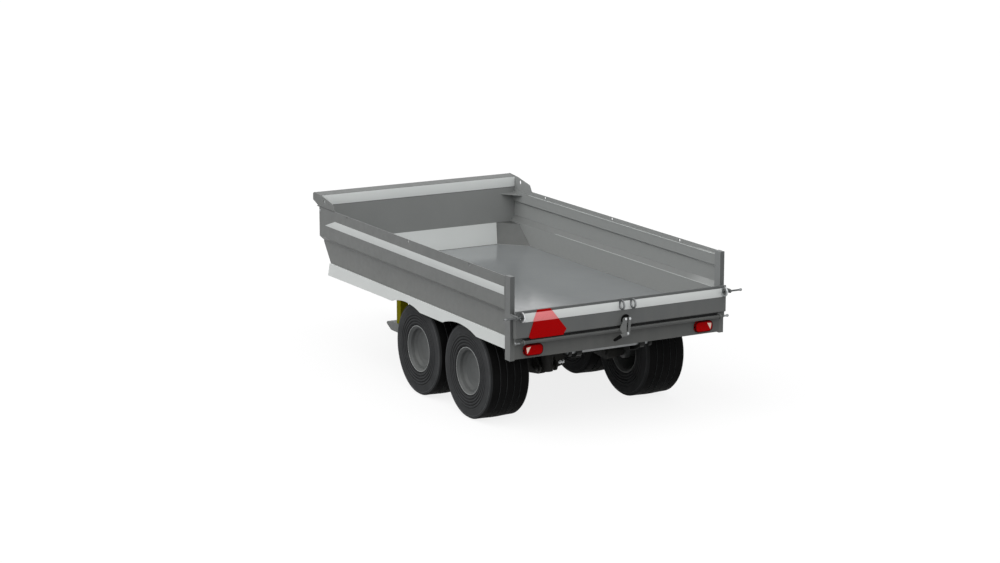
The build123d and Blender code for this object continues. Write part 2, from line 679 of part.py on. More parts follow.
# Rocker bogie: a hanger with its pivot under each rail, a rocker beam on it and a stub axle for each wheel
rocker_in = ROCKER_Y - ROCKER_W / 2
rocker_out = ROCKER_Y + ROCKER_W / 2
hanger = plate_y(
    [
        (BOGIE_X - HANGER_FOOT / 2, RAIL_LOW_Z),
        (BOGIE_X + HANGER_FOOT / 2, RAIL_LOW_Z),
        (BOGIE_X + HANGER_R, BOGIE_Z),
        (BOGIE_X - HANGER_R, BOGIE_Z),
    ],
    RAIL_Y - HANGER_W / 2,
    RAIL_Y + HANGER_W / 2,
)
hanger = hanger + bar_y(BOGIE_X, BOGIE_Z, HANGER_R, RAIL_Y - HANGER_W / 2, RAIL_Y + HANGER_W / 2)
hanger = hanger + bar_y(BOGIE_X, BOGIE_Z, BOGIE_PIN_R + 14, RAIL_Y, rocker_in)
pair("bogie_hanger", hanger + bar_y(BOGIE_X, BOGIE_Z, BOGIE_PIN_R, RAIL_Y, rocker_out + 20))
rocker_mid = (BOGIE_X, BOGIE_Z, ROCKER_MID_R)
rocker = None
for axle in AXLES:
    arm = link_y([rocker_mid, (axle.x, TYRE_R, ROCKER_END_R)], rocker_in, rocker_out)
    rocker = arm if rocker is None else rocker + arm
rocker = rocker - bar_y(BOGIE_X, BOGIE_Z, BOGIE_PIN_R, rocker_in - 1, rocker_out + 1)
for axle in AXLES:
    rocker = rocker - bar_y(axle.x, TYRE_R, STUB_R, rocker_in - 1, rocker_out + 1)
pair("bogie_rocker", rocker)

# Wheels: a wide low tyre with tread grooves on a dished rim whose hub runs on the stub
half_tyre = TYRE_W / 2
half_rim = RIM_W / 2
flange_in = half_rim - 10
seat_end = half_rim - 14
tread_half = [
    (TYRE_R, half_tyre * 0.16),
    (TYRE_R - GROOVE_D, half_tyre * 0.16 + 2),
    (TYRE_R - GROOVE_D, half_tyre * 0.16 + GROOVE_W - 2),
    (TYRE_R - 1, half_tyre * 0.16 + GROOVE_W),
    (TYRE_R - 3, half_tyre * 0.48),
    (TYRE_R - 3 - GROOVE_D, half_tyre * 0.48 + 2),
    (TYRE_R - 3 - GROOVE_D, half_tyre * 0.48 + GROOVE_W - 2),
    (TYRE_R - 4, half_tyre * 0.48 + GROOVE_W),
    (TYRE_R - 5, half_tyre - 24),
    (TYRE_R - 15, half_tyre - 9),
    (TYRE_R - 42, half_tyre - 2),
    (TYRE_R - 112, half_tyre),
    (RIM_FLANGE_R + 8, half_rim + 4),
    (RIM_FLANGE_R, flange_in),
    (RIM_SEAT_R, seat_end),
    (RIM_SEAT_R, seat_end - 32),
    (TYRE_R - 137, half_tyre - 28),
    (TYRE_R - 35, half_tyre - 50),
]
tyre_outline = tread_half + [(r, -a) for r, a in reversed(tread_half)]
barrel_r = RIM_SEAT_R - RIM_T
dish_a = half_rim - DISH_DEPTH
hub_bore_r = STUB_R + RUN_FIT
stub_end_a = dish_a - DISC_T - 14
rim_outline = [
    (RIM_FLANGE_R, flange_in),
    (RIM_FLANGE_R, half_rim),
    (RIM_FLANGE_R - RIM_LIP, half_rim),
    (barrel_r, seat_end - RIM_LIP),
    (barrel_r, dish_a + 62),
    (barrel_r - 8, dish_a + 36),
    (barrel_r - 30, dish_a + 14),
    (barrel_r - 70, dish_a + 3),
    (0, dish_a),
    (0, stub_end_a + 2),
    (hub_bore_r, stub_end_a + 2),
    (hub_bore_r, -HUB_REACH),
    (HUB_R + 14, -HUB_REACH),
    (HUB_R + 14, 50 - HUB_REACH),
    (HUB_R, 64 - HUB_REACH),
    (HUB_R, dish_a - 32),
    (barrel_r - 72, dish_a - DISC_T + 3),
    (barrel_r - 34, dish_a - DISC_T + 13),
    (barrel_r, dish_a + 24),
    (barrel_r, RIM_LIP - seat_end),
    (RIM_FLANGE_R - RIM_LIP, -half_rim),
    (RIM_FLANGE_R, -half_rim),
    (RIM_FLANGE_R, -flange_in),
    (RIM_SEAT_R, -seat_end),
    (RIM_SEAT_R, seat_end),
]
for axle in AXLES:
    pair("tyre_" + axle.name, ring_y(tyre_outline, axle.x, TYRE_Y, TYRE_R))
    pair("rim_" + axle.name, ring_y(rim_outline, axle.x, TYRE_Y, TYRE_R))
    stub = bar_y(axle.x, TYRE_R, STUB_R, rocker_in - 8, TYRE_Y + stub_end_a)
    pair("stub_" + axle.name, stub + bar_y(axle.x, TYRE_R, COLLAR_R, rocker_out, TYRE_Y - HUB_REACH - 10))

# Lift cylinder: a hanging cradle with its cross pin, a tilting barrel, a middle stage, a rod with a ball head
cradle_x = CYL_X + CRADLE_SETBACK
cradle_in = BARREL_R + CRADLE_GAP
cradle_out = cradle_in + CRADLE_T
cradle = plate_x(
    [
        (rail_in, CROSS_LOW_Z),
        (rail_in, CRADLE_SIDE_Z),
        (CRADLE_HEEL, CRADLE_LOW_Z),
        (-CRADLE_HEEL, CRADLE_LOW_Z),
        (-rail_in, CRADLE_SIDE_Z),
        (-rail_in, CROSS_LOW_Z),
    ],
    cradle_x,
    cradle_x + CRADLE_T,
)
cheek_rounds = [
    (CYL_X, CYL_LOW_Z, CRADLE_EYE_R),
    (cradle_x - CRADLE_CHEEK_R, CYL_LOW_Z, CRADLE_CHEEK_R),
    (cradle_x - CRADLE_CHEEK_R, CYL_LOW_Z + CRADLE_CHEEK_H, CRADLE_CHEEK_R),
]
for side in SIDES:
    cradle = cradle + link_y(cheek_rounds, side.sign * cradle_in, side.sign * cradle_out)
parts["lift_cradle"] = cradle + bar_y(CYL_X, CYL_LOW_Z, CYL_PIN_R, -cradle_out - 6, cradle_out + 6)
heel_z = CYL_LOW_Z - CYL_HEEL
barrel = bar_z(CYL_X, 0, BARREL_R, heel_z, BARREL_TOP_Z)
barrel = barrel - bar_z(CYL_X, 0, STAGE_R, STAGE_LOW_Z - 5, BARREL_TOP_Z + 1)
parts["lift_barrel"] = barrel - bar_y(CYL_X, CYL_LOW_Z, CYL_PIN_R + RUN_FIT, -BARREL_R, BARREL_R)
stage = bar_z(CYL_X, 0, STAGE_R - 2 * RUN_FIT, STAGE_LOW_Z, STAGE_TOP_Z)
rod_low_z = STAGE_LOW_Z + 18
parts["lift_stage"] = stage - bar_z(CYL_X, 0, ROD_R, rod_low_z, STAGE_TOP_Z + 1)
rod = bar_z(CYL_X, 0, ROD_R - 2 * RUN_FIT, rod_low_z + 4, CYL_TOP_Z)
parts["lift_rod"] = rod + Pos(CYL_X, 0, CYL_TOP_Z) * Sphere(BALL_R)

# Tailgate: a folded pan hung by ring eyes, with two loops, a lower shaft in lugs, the sign and the latch
gate_top_x = GATE_X + GATE_TOP_IN
lip_rear, lip_front = GATE_X + GATE_FOLD_REAR, GATE_FACE_X - GATE_FOLD_FRONT
gate = plate_y(
    [
        (GATE_X, GATE_TOP_Z),
        (gate_top_x, GATE_TOP_Z),
        (gate_top_x, GATE_TOP_Z - GATE_TOP_H),
        (GATE_FACE_X, GATE_TOP_Z - GATE_TOP_H - GATE_CHAMFER),
        (GATE_FACE_X, GATE_FOLD_Z),
        (lip_front, GATE_FOLD_Z - GATE_FOLD_RISE),
        (lip_front, GATE_LOW_Z),
        (lip_rear, GATE_LOW_Z),
        (lip_rear, GATE_FOLD_Z - GATE_FOLD_RISE),
        (GATE_X, GATE_FOLD_Z),
    ],
    -GATE_HALF_W,
    GATE_HALF_W,
)
gate = gate - block(
    GATE_X + GATE_T,
    GATE_FACE_X - GATE_T,
    GATE_T - GATE_HALF_W,
    GATE_HALF_W - GATE_T,
    GATE_FOLD_Z + GATE_T,
    GATE_HINGE_Z - RING_R,
)
half_ring = RING_T / 2
half_lug = LUG_T / 2
for side in SIDES:
    eye_y = side.sign * EYE_Y
    eye = bar_y(GATE_HINGE_X, GATE_HINGE_Z, RING_R, eye_y - half_ring, eye_y + half_ring)
    for face in (eye_y - half_ring, eye_y + half_ring):
        recess = (RING_T - RING_WEB) / 2
        eye = eye - bar_y(GATE_HINGE_X, GATE_HINGE_Z, RING_BORE_R, face - recess, face + recess)
    gate = gate + eye
    gate = gate - bar_y(GATE_HINGE_X, GATE_HINGE_Z, GATE_PIN_R + RUN_FIT, eye_y - RING_T, eye_y + RING_T)
    lug_y = side.sign * (GATE_HALF_W - LUG_IN)
    lug_root = (lip_front - LUG_ROOT_R, GATE_LOW_Z + SHAFT_R, LUG_ROOT_R)
    lug_rounds = [(SHAFT_X, SHAFT_Z, SHAFT_R + LUG_RIM), lug_root]
    gate = gate + link_y(lug_rounds, lug_y - half_lug, lug_y + half_lug)
for loop_y in LOOPS_Y:
    loop = bar_y(GATE_HINGE_X, GATE_HINGE_Z, RING_R, loop_y - half_ring, loop_y + half_ring)
    gate = gate + (loop - bar_y(GATE_HINGE_X, GATE_HINGE_Z, RING_BORE_R, loop_y - RING_T, loop_y + RING_T))
parts["tailgate"] = gate - bar_y(SHAFT_X, SHAFT_Z, SHAFT_R, -GATE_HALF_W, GATE_HALF_W)
pair("gate_pin", bar_y(GATE_HINGE_X, GATE_HINGE_Z, GATE_PIN_R, EYE_Y - GATE_PIN_LAP, HALF_W + GATE_PIN_OUT))
shaft_half = HALF_W - SPIGOT_L
shaft = bar_y(SHAFT_X, SHAFT_Z, SHAFT_R, -shaft_half, shaft_half)
parts["gate_shaft"] = shaft + bar_y(SHAFT_X, SHAFT_Z, SPIGOT_R, -shaft_half - SPIGOT_L, shaft_half + SPIGOT_L)
sign_outline = [(SIGN_Y + corner.across, GATE_FOLD_Z + corner.up) for corner in SIGN_CORNERS]
parts["slow_sign"] = plate_x(sign_outline, GATE_X - SIGN_T, GATE_X)


def latch_link(rounds, x_from, x_to):
    """One layer of the latch; its rounds are placed by their height over the shaft."""
    return link_x([(one.y, SHAFT_Z + one.up, one.r) for one in rounds], x_from, x_to)


latch_x = GATE_X - LATCH_D
latch = latch_link(LATCH_BOSS, latch_x, GATE_X) + latch_link(LATCH_PLATE, latch_x, latch_x + LATCH_T)
latch = latch - latch_link(LATCH_SLOT, latch_x - 1, latch_x + LATCH_T + 1)
parts["gate_latch"] = latch + latch_link(LATCH_HANDLE, latch_x - HANDLE_T, latch_x)

if __name__ == "__main__":
    for name, shape in parts.items():
        export_step(Pos(SHIFT_X, 0, 0) * shape, "parts/" + name + ".step")
        print(name, round(shape.volume / 1e6, 3), len(shape.solids()))
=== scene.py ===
"""Looks of a tandem farm dump trailer, in metres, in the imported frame: X forward, Y left, Z up."""
import math
from collections import namedtuple

import bmesh
import bpy
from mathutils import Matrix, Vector


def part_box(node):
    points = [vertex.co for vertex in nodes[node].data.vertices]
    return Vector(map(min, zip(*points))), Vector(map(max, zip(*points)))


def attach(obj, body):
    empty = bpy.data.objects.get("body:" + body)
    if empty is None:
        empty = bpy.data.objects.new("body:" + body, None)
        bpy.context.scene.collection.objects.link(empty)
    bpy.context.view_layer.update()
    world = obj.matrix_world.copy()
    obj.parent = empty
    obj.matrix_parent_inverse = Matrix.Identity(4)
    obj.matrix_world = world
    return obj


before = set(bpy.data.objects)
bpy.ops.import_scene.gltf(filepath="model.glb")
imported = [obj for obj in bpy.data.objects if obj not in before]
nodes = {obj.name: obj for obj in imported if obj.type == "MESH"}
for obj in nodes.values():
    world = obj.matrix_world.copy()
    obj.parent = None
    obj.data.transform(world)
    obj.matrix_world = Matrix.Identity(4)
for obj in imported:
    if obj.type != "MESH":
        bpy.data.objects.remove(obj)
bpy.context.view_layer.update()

# Places read from the frame: X is counted from the rear face of the rear beam
REAR_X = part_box("rear_beam")[0].x
WALL_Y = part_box("wall_left")[1].y
WALL_TOP_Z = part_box("wall_left")[1].z
FLOOR_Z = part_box("bed_floor")[1].z
GATE_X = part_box("slow_sign")[1].x
SIGN_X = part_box("slow_sign")[0].x
SPILL_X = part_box("headboard")[0].x
TYRE_R = (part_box("tyre_rear_left")[1].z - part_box("tyre_rear_left")[0].z) / 2

# Camera of the photograph
CAMERA_AT = Vector((REAR_X - 18.2785, 11.5052, 6.0518))
CAMERA_YAW = math.radians(-29.4234)
CAMERA_PITCH = math.radians(-12.3766)
CAMERA_LENS_MM = 91.394
SENSOR_MM = 36.0
CAMERA_FAR = 1000.0

# Studio suns: strength, angle across in degrees, and the direction they shine from
SUNS = (
    ("key", 1.65, 60, (0.0, 0.8, 0.9)),
    ("fill", 1.20, 60, (-0.9, 0.1, 0.7)),
    ("top", 0.35, 60, (0.0, 0.0, 1.0)),
)

# Studio: half the floor's width, its grey, its glow and share of glow where it is seen, and the world's light
STAGE_HALF = 400.0
STAGE_GREY = 0.30
STAGE_GLOW = 1.66
STAGE_SHARE = 0.5
WORLD_LIGHT = 0.6

# Edges: rounds on the solids, and the angles from which an edge is rounded, bevelled or left sharp
EDGE_ROUND = 0.0022
EDGE_JOIN = 0.00002
EDGE_ANGLE = math.radians(38)
BEVEL_ANGLE = 0.6
SHARP_ANGLE = math.radians(34)

# Painted light and shade by place: how far a face looks inward, up or down, to the rear or sideways, where
# along a wall its folds turn dark with painted shade, and how much lighter, as painted light, the slope under
# the top rail is before that
INWARD_FACING = -0.2
SLOPE_FACING = 0.15
REAR_FACING = -0.6
SIDEWALL_FACING = 0.6
LEDGE_SHADE_FADE = (0.25, 0.60)
UNDER_RAIL_LIGHT_GAIN = 1.7

# Grain of the materials: the scale of a noise per metre, its detail, and its squeeze along X, Y and Z
PAINT_CLOUD = (2.6, 5.0)
PAINT_PATCHES = (17.0, 3.0)
PAINT_WAVE = (2.1, 1.0)
PAINT_PEEL = (420.0, 2.0)
DUST_STREAKS = (9.0, 4.0, (1.0, 1.0, 0.12))
DUST_HEX = "a19c90"
RUBBER_LUMPS = (30.0, 4.0)
RUBBER_GRAIN = (650.0, 2.0)
RUBBER_SCUFFS = (7.0, 6.0)
RUBBER_PATCHES = (40.0, 3.0)
METAL_CLOUD = (35.0, 4.0)
METAL_PATCHES = (60.0, 4.0)
METAL_GRAIN = (480.0, 2.0, (1.0, 0.2, 1.0))
NOISE_RANGE = (0.3, 0.7)
CELL_SCALE = 190.0
FLUTE_SCALE = 42.0

# Bumps: depth in metres and strength, where the strength is not set by the paint
WAVE_DEPTH = 0.004
PEEL_DEPTH = 0.0004
LUMP_BUMP = (0.002, 0.10)
GRAIN_BUMP = (0.0005, 0.20)
RING_BUMP = (0.006, 0.55)
METAL_BUMP = (0.0003, 0.15)
CELL_BUMP = (0.0004, 0.10)
FLUTE_BUMP = (0.0008, 0.25)

# Steps round a turned form, and the distance under which points are one
RING_SEGMENTS = 48
SMALL_SEGMENTS = 32
WASHER_SEGMENTS = 28
FOLD_SEGMENTS = 16
WELD_SEGMENTS = 8
HEXAGON = 6
WHEEL_SEGMENTS = 96
SAME_POINT = 1e-6

# A half-round bead on a turned surface: its radius from the axis, distance along it, width, height and tilt
Bead = namedtuple("Bead", "radius out width height tilt")

# Painted bands
BAND_T = 0.0016
BAND_ROUND = 0.0004
SPILL_BAND_IN = 0.010
SIDE_BAND_Z = (1.300, 1.372)
SIDE_BAND_REAR = 0.100
SIDE_BAND_TIP = 3.630
SIDE_BAND_SLANT = 0.220
GATE_BAND_Z = (1.079, 1.157)
GATE_BAND_Y = (-1.040, 1.000)
SPILL_BAND_Z = (1.475, 1.574)
NOSE_TOP_Z = 1.119
FACET_LONG = 0.256
FACET_WIDE = 0.238
NOSE_HALF_TOP = 0.874

# Painted highlights: pale beads along the folds inside the side walls, where the folds catch the light: in
# from the wall, up, and from where to where along
FOLD_HIGHLIGHTS = (
    (0.0255, 1.4295, 0.100, 3.480),
    (0.0530, 1.1365, 0.100, 2.900),
)
FOLD_HIGHLIGHT_R = 0.0032
FOLD_HIGHLIGHT_TAPER = 0.060

# Lighter part of the sign: its left and right ends at the bottom and at the top, from the sign's middle
SIGN_SHIFT = 0.0055
SIGN_BOTTOM_Y = (0.142, -0.110)
SIGN_TOP_Y = (0.110, -0.048)
SIGN_FACE_T = 0.0008
SIGN_ROUND = 0.0002

# Lamp bezel: how far each step lies in from the lamp's edge, and forward of its rear face
LAMP_STEPS = ((0.0, 0.006), (0.0025, 0.003), (0.0100, 0.003), (0.0120, 0.006))
LAMP_ROUND = 0.42
TRIANGLE_OUTER = (0.40, 0.026)
TRIANGLE_INNER = (0.16, 0.031)
TRIANGLE_TIP = (0.35, -0.030)
TRIANGLE_T = 0.0012

# Gate fittings
RING_R = 0.0451
RING_BORE_R = 0.0306
RING_T = 0.0128
RINGS_Y = (1.035, -1.035)
LOOPS_Y = (0.040, -0.075)
HANDLE_T = 0.008
LIP_IN = 0.022
PRONG_R = 0.014
PRONGS_Y = (-0.001, -0.043)
RING_ROUND = 0.0012
# Dark strip in the gap under the gate, a stand-in for the gap's shade: its half length, and the low and high
# ends and thickness of each step
GAP_SHADE_HALF = 1.0
GAP_SHADE_STRIPS = ((0.902, 0.932, 0.004), (0.908, 0.926, 0.007))
WASHER_Y = -0.021
WASHER_RISE = 0.086
WASHER_ROUND = 0.0005
NUT_Y = -0.024
NUT_DROP = 0.034
NUT_SIZE = 0.013
KNOB = ((0.0, 0.0), (0.0095, 0.001), (0.0125, 0.006), (0.0130, 0.013))
KNOB_NECK = ((0.0105, 0.020), (0.0082, 0.024), (0.0082, 0.028), (0.0, 0.028))
SPIGOT = ((0.0, 0.0), (0.0090, 0.001), (0.0125, 0.006), (0.0125, 0.014))
SPIGOT_STEM = ((0.0085, 0.020), (0.0085, 0.057), (0.0, 0.057))
WASHER = ((0.0, 0.0), (0.043, 0.0), (0.045, 0.002), (0.045, 0.005), (0.0, 0.005))
STUD = ((0.0, 0.0), (0.0115, 0.0), (0.0115, 0.004), (0.0095, 0.0058), (0.0, 0.0065))
GRIP_START = (0.050, -0.0487)
GRIP_END = (0.110, -0.0740)
GRIP = ((0.0, 0.0), (0.0145, 0.0), (0.0160, 0.004), (0.0138, 0.060))
GRIP_TIP = ((0.0128, 0.070), (0.0088, 0.0785), (0.0, 0.0805))

# Moulded rings on the tyre walls
RING_FIRST_R = 0.228
RING_LAST_R = 0.336
RING_PITCH = 0.027
# A thin pale line at the shoulder, a painted highlight: its radius, width and gain over the wall's colour
SHOULDER_LINE_R = 0.404
SHOULDER_LINE_W = 0.006
SHOULDER_HIGHLIGHT_GAIN = 1.9
RING_FLATNESS = 0.6
# How far the grooves between the rings are darkened, as painted shade
GROOVE_SHADE = 0.85
TYRE_BEADS = (
    Bead(0.4040, 0.1975, 0.007, 0.0026, 0.20),
    Bead(0.3490, 0.2012, 0.007, 0.0026, 0.00),
    Bead(0.3225, 0.2018, 0.022, 0.0042, -0.06),
    Bead(0.2955, 0.2002, 0.022, 0.0050, -0.06),
    Bead(0.2685, 0.1986, 0.022, 0.0050, -0.06),
    Bead(0.2415, 0.1970, 0.022, 0.0042, -0.06),
)
# Pale bead on each rim's lip, a painted highlight where the flange catches the light
RIM_HIGHLIGHT = Bead(0.2130, 0.1920, 0.006, 0.0030, 0.0)
BEAD_STEPS = 8
BEAD_SINK = 0.001

# Welds
WELD_PITCH = 0.006
WELD_RIPPLES = ((0.16, 2.4), (0.05, 0.71))
SEAM_SINK = 0.0005
FLOOR_WELD_R = 0.0042
FLOOR_WELD_START = 0.03
NOSE_WELD_R = 0.0040
POST_WELD_R = 0.0034
POST_WELD_Z = 1.19
GUSSET_WELD_R = 0.0036
GUSSET_WELD_SHORT = 0.09
EYE_WELD_R = 0.0045
EYE_WELD_Y = 0.089
EYE_WELD_IN = 0.005
HANGER_WELD_R = 0.0050
HANGER_WELD_Y = 0.338
HANGER_WELD_IN = 0.004
STUB_WELD = Bead(0.0525, 0.0, 0.012, 0.006, 0.8)

# A bolt's washer and head as shares of its size: radius, and distance along its axis
BOLT_WASHER = ((0.0, 0.0), (0.78, 0.0), (0.78, 0.10), (0.7332, 0.14), (0.0, 0.14))
BOLT_HEAD = ((0.0, 0.14), (0.56, 0.14), (0.56, 0.64), (0.48, 0.74), (0.0, 0.74))

# Bolts: the tow eye's plate, the drawbar's yoke, the cradle, the wall ends, and caps on the cradle's pin
EYE_PLATE_T = 0.022
EYE_BOLTS_Y = (-0.070, 0.070)
EYE_BOLTS_Z = (0.452, 0.528)
YOKE_BOLTS_Y = (-0.320, -0.280, 0.280, 0.320)
YOKE_BOLTS_ALONG = (3.225, 3.275)
YOKE_DROP = 0.050
CRADLE_ALONG = 1.350
CRADLE_BOLTS_Y = (-0.215, -0.180, 0.180, 0.215)
CRADLE_BOLTS_Z = 0.585
LOW_BOLTS_Y = (-0.235, -0.205)
CAP_ALONG = 1.250
CAP_Y = 0.102
CAP_Z = 0.275
CAP = ((0.0, 0.0), (0.030, 0.0), (0.030, 0.004), (0.027, 0.006), (0.0, 0.006))
WALL_BOLT_ALONG = 3.732
WALL_BOLT_Z = 1.4335
LARGE_BOLT = 0.024
CRADLE_BOLT = 0.022
WALL_BOLT = 0.014

SIDES = (("left", 1), ("right", -1))
AXLES = ("rear", "front")


def linear(screen_hex, gain=1.0):
    """A colour written as it looks on screen, as the linear values that shaders take."""
    channels = [int(screen_hex[i:i + 2], 16) / 255 for i in (0, 2, 4)]
    values = [c / 12.92 if c <= 0.04045 else ((c + 0.055) / 1.055) ** 2.4 for c in channels]
    return tuple(min(1.0, v * gain) for v in values) + (1.0,)


def start_material(name, roughness, metallic=0.0):
    """A material with its shader and the row frame's coordinates ready to use."""
    mat = bpy.data.materials.new(name)
    mat.use_nodes = True
    tree = mat.node_tree
    shader = tree.nodes["Principled BSDF"]
    shader.inputs["Roughness"].default_value = roughness
    shader.inputs["Metallic"].default_value = metallic
    coords = tree.nodes.new("ShaderNodeTexCoord")
    return mat, tree, shader, coords


def noise(tree, coords, scale, detail=3.0, stretch=(1.0, 1.0, 1.0)):
    """Noise in metres; stretch squeezes it along an axis for streaks."""
    mapping = tree.nodes.new("ShaderNodeMapping")
    mapping.inputs["Scale"].default_value = stretch
    texture = tree.nodes.new("ShaderNodeTexNoise")
    texture.inputs["Scale"].default_value = scale
    texture.inputs["Detail"].default_value = detail
    tree.links.new(coords.outputs["Object"], mapping.inputs["Vector"])
    tree.links.new(mapping.outputs["Vector"], texture.inputs["Vector"])
    return texture.outputs["Fac"]


def ramp(tree, factor, low, high, start=NOISE_RANGE[0], end=NOISE_RANGE[1]):
    """Two colours across a factor."""
    node = tree.nodes.new("ShaderNodeValToRGB")
    node.color_ramp.elements[0].position = start
    node.color_ramp.elements[0].color = low
    node.color_ramp.elements[1].position = end
    node.color_ramp.elements[1].color = high
    tree.links.new(factor, node.inputs["Fac"])
    return node.outputs["Color"]


def spread(tree, factor, low, high):
    """A noise mapped to a range of values."""
    node = tree.nodes.new("ShaderNodeMapRange")
    node.inputs["From Min"].default_value = NOISE_RANGE[0]
    node.inputs["From Max"].default_value = NOISE_RANGE[1]
    node.inputs["To Min"].default_value = low
    node.inputs["To Max"].default_value = high
    tree.links.new(factor, node.inputs["Value"])
    return node.outputs["Result"]


def blend_colours(tree, factor, under, over):
    """One colour laid over another by a factor."""
    node = tree.nodes.new("ShaderNodeMix")
    node.data_type = "RGBA"
    tree.links.new(factor, node.inputs["Factor"])
    tree.links.new(under, node.inputs["A"])
    if isinstance(over, tuple):
        node.inputs["B"].default_value = over
    else:
        tree.links.new(over, node.inputs["B"])
    return node.outputs["Result"]


def bump(tree, shader, layers):
    """Bump from several heights, each with its depth in metres and strength."""
    normal = None
    for height, distance, strength in layers:
        node = tree.nodes.new("ShaderNodeBump")
        node.inputs["Distance"].default_value = distance
        node.inputs["Strength"].default_value = strength
        tree.links.new(height, node.inputs["Height"])
        if normal is not None:
            tree.links.new(normal, node.inputs["Normal"])
        normal = node.outputs["Normal"]
    tree.links.new(normal, shader.inputs["Normal"])


def axis_mask(tree, coords, axis, start, end):
    """One at start on an axis and before it, fading to nothing at end."""
    split = tree.nodes.new("ShaderNodeSeparateXYZ")
    tree.links.new(coords.outputs["Object"], split.inputs["Vector"])
    node = tree.nodes.new("ShaderNodeMapRange")
    node.interpolation_type = "SMOOTHSTEP"
    node.inputs["From Min"].default_value = start
    node.inputs["From Max"].default_value = end
    node.inputs["To Min"].default_value = 1.0
    node.inputs["To Max"].default_value = 0.0
    tree.links.new(split.outputs[axis], node.inputs["Value"])
    return node.outputs["Result"]


def compute(tree, operation, first, second=None):
    """A sum worked out in a shader; the second value may be a plain number."""
    node = tree.nodes.new("ShaderNodeMath")
    node.operation = operation
    tree.links.new(first, node.inputs[0])
    if isinstance(second, float):
        node.inputs[1].default_value = second
    elif second is not None:
        tree.links.new(second, node.inputs[1])
    return node.outputs["Value"]


def times(tree, first, second):
    """The product of two factors; the second may be a plain number."""
    return compute(tree, "MULTIPLY", first, second)


def inner_faces(tree, coords):
    """One on faces that look towards the middle plane, and one on those of them that look up, or down."""
    place = tree.nodes.new("ShaderNodeSeparateXYZ")
    facing = tree.nodes.new("ShaderNodeSeparateXYZ")
    tree.links.new(coords.outputs["Object"], place.inputs["Vector"])
    tree.links.new(coords.outputs["Normal"], facing.inputs["Vector"])
    across = times(tree, place.outputs["Y"], facing.outputs["Y"])
    inward = compute(tree, "LESS_THAN", across, INWARD_FACING)
    upward = compute(tree, "GREATER_THAN", facing.outputs["Z"], SLOPE_FACING)
    downward = compute(tree, "LESS_THAN", facing.outputs["Z"], -SLOPE_FACING)
    return inward, times(tree, inward, upward), times(tree, inward, downward)


def rear_faces(tree, coords):
    """One on faces that look to the rear."""
    facing = tree.nodes.new("ShaderNodeSeparateXYZ")
    tree.links.new(coords.outputs["Normal"], facing.inputs["Vector"])
    return compute(tree, "LESS_THAN", facing.outputs["X"], REAR_FACING)


def wheel_radius(tree, coords):
    """Distance from the axis of the nearer wheel."""
    place = tree.nodes.new("ShaderNodeSeparateXYZ")
    tree.links.new(coords.outputs["Object"], place.inputs["Vector"])
    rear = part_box("tyre_rear_left")
    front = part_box("tyre_front_left")
    rear_x, front_x = (rear[0].x + rear[1].x) / 2, (front[0].x + front[1].x) / 2
    across = compute(tree, "ABSOLUTE", compute(tree, "SUBTRACT", place.outputs["X"], (rear_x + front_x) / 2))
    across = compute(tree, "SUBTRACT", across, (front_x - rear_x) / 2)
    up = compute(tree, "SUBTRACT", place.outputs["Z"], TYRE_R)
    return compute(tree, "SQRT", compute(tree, "ADD", times(tree, across, across), times(tree, up, up)))


def sidewall_rings(tree, coords):
    """Heights of the moulded rings on a tyre's wall near the rim, and a mask of one thin line at the shoulder
    for a painted highlight.
    """
    radius = wheel_radius(tree, coords)
    turns = times(tree, compute(tree, "SUBTRACT", radius, RING_FIRST_R), math.tau / RING_PITCH)
    swing = compute(tree, "ABSOLUTE", compute(tree, "SINE", times(tree, turns, 0.5)))
    wave = compute(tree, "POWER", swing, RING_FLATNESS)
    wave = compute(tree, "MAXIMUM", wave, compute(tree, "GREATER_THAN", radius, RING_LAST_R))
    wave = compute(tree, "MAXIMUM", wave, compute(tree, "LESS_THAN", radius, RING_FIRST_R))
    from_line = compute(tree, "ABSOLUTE", compute(tree, "SUBTRACT", radius, SHOULDER_LINE_R))
    line = compute(tree, "LESS_THAN", from_line, SHOULDER_LINE_W / 2)
    return wave, line


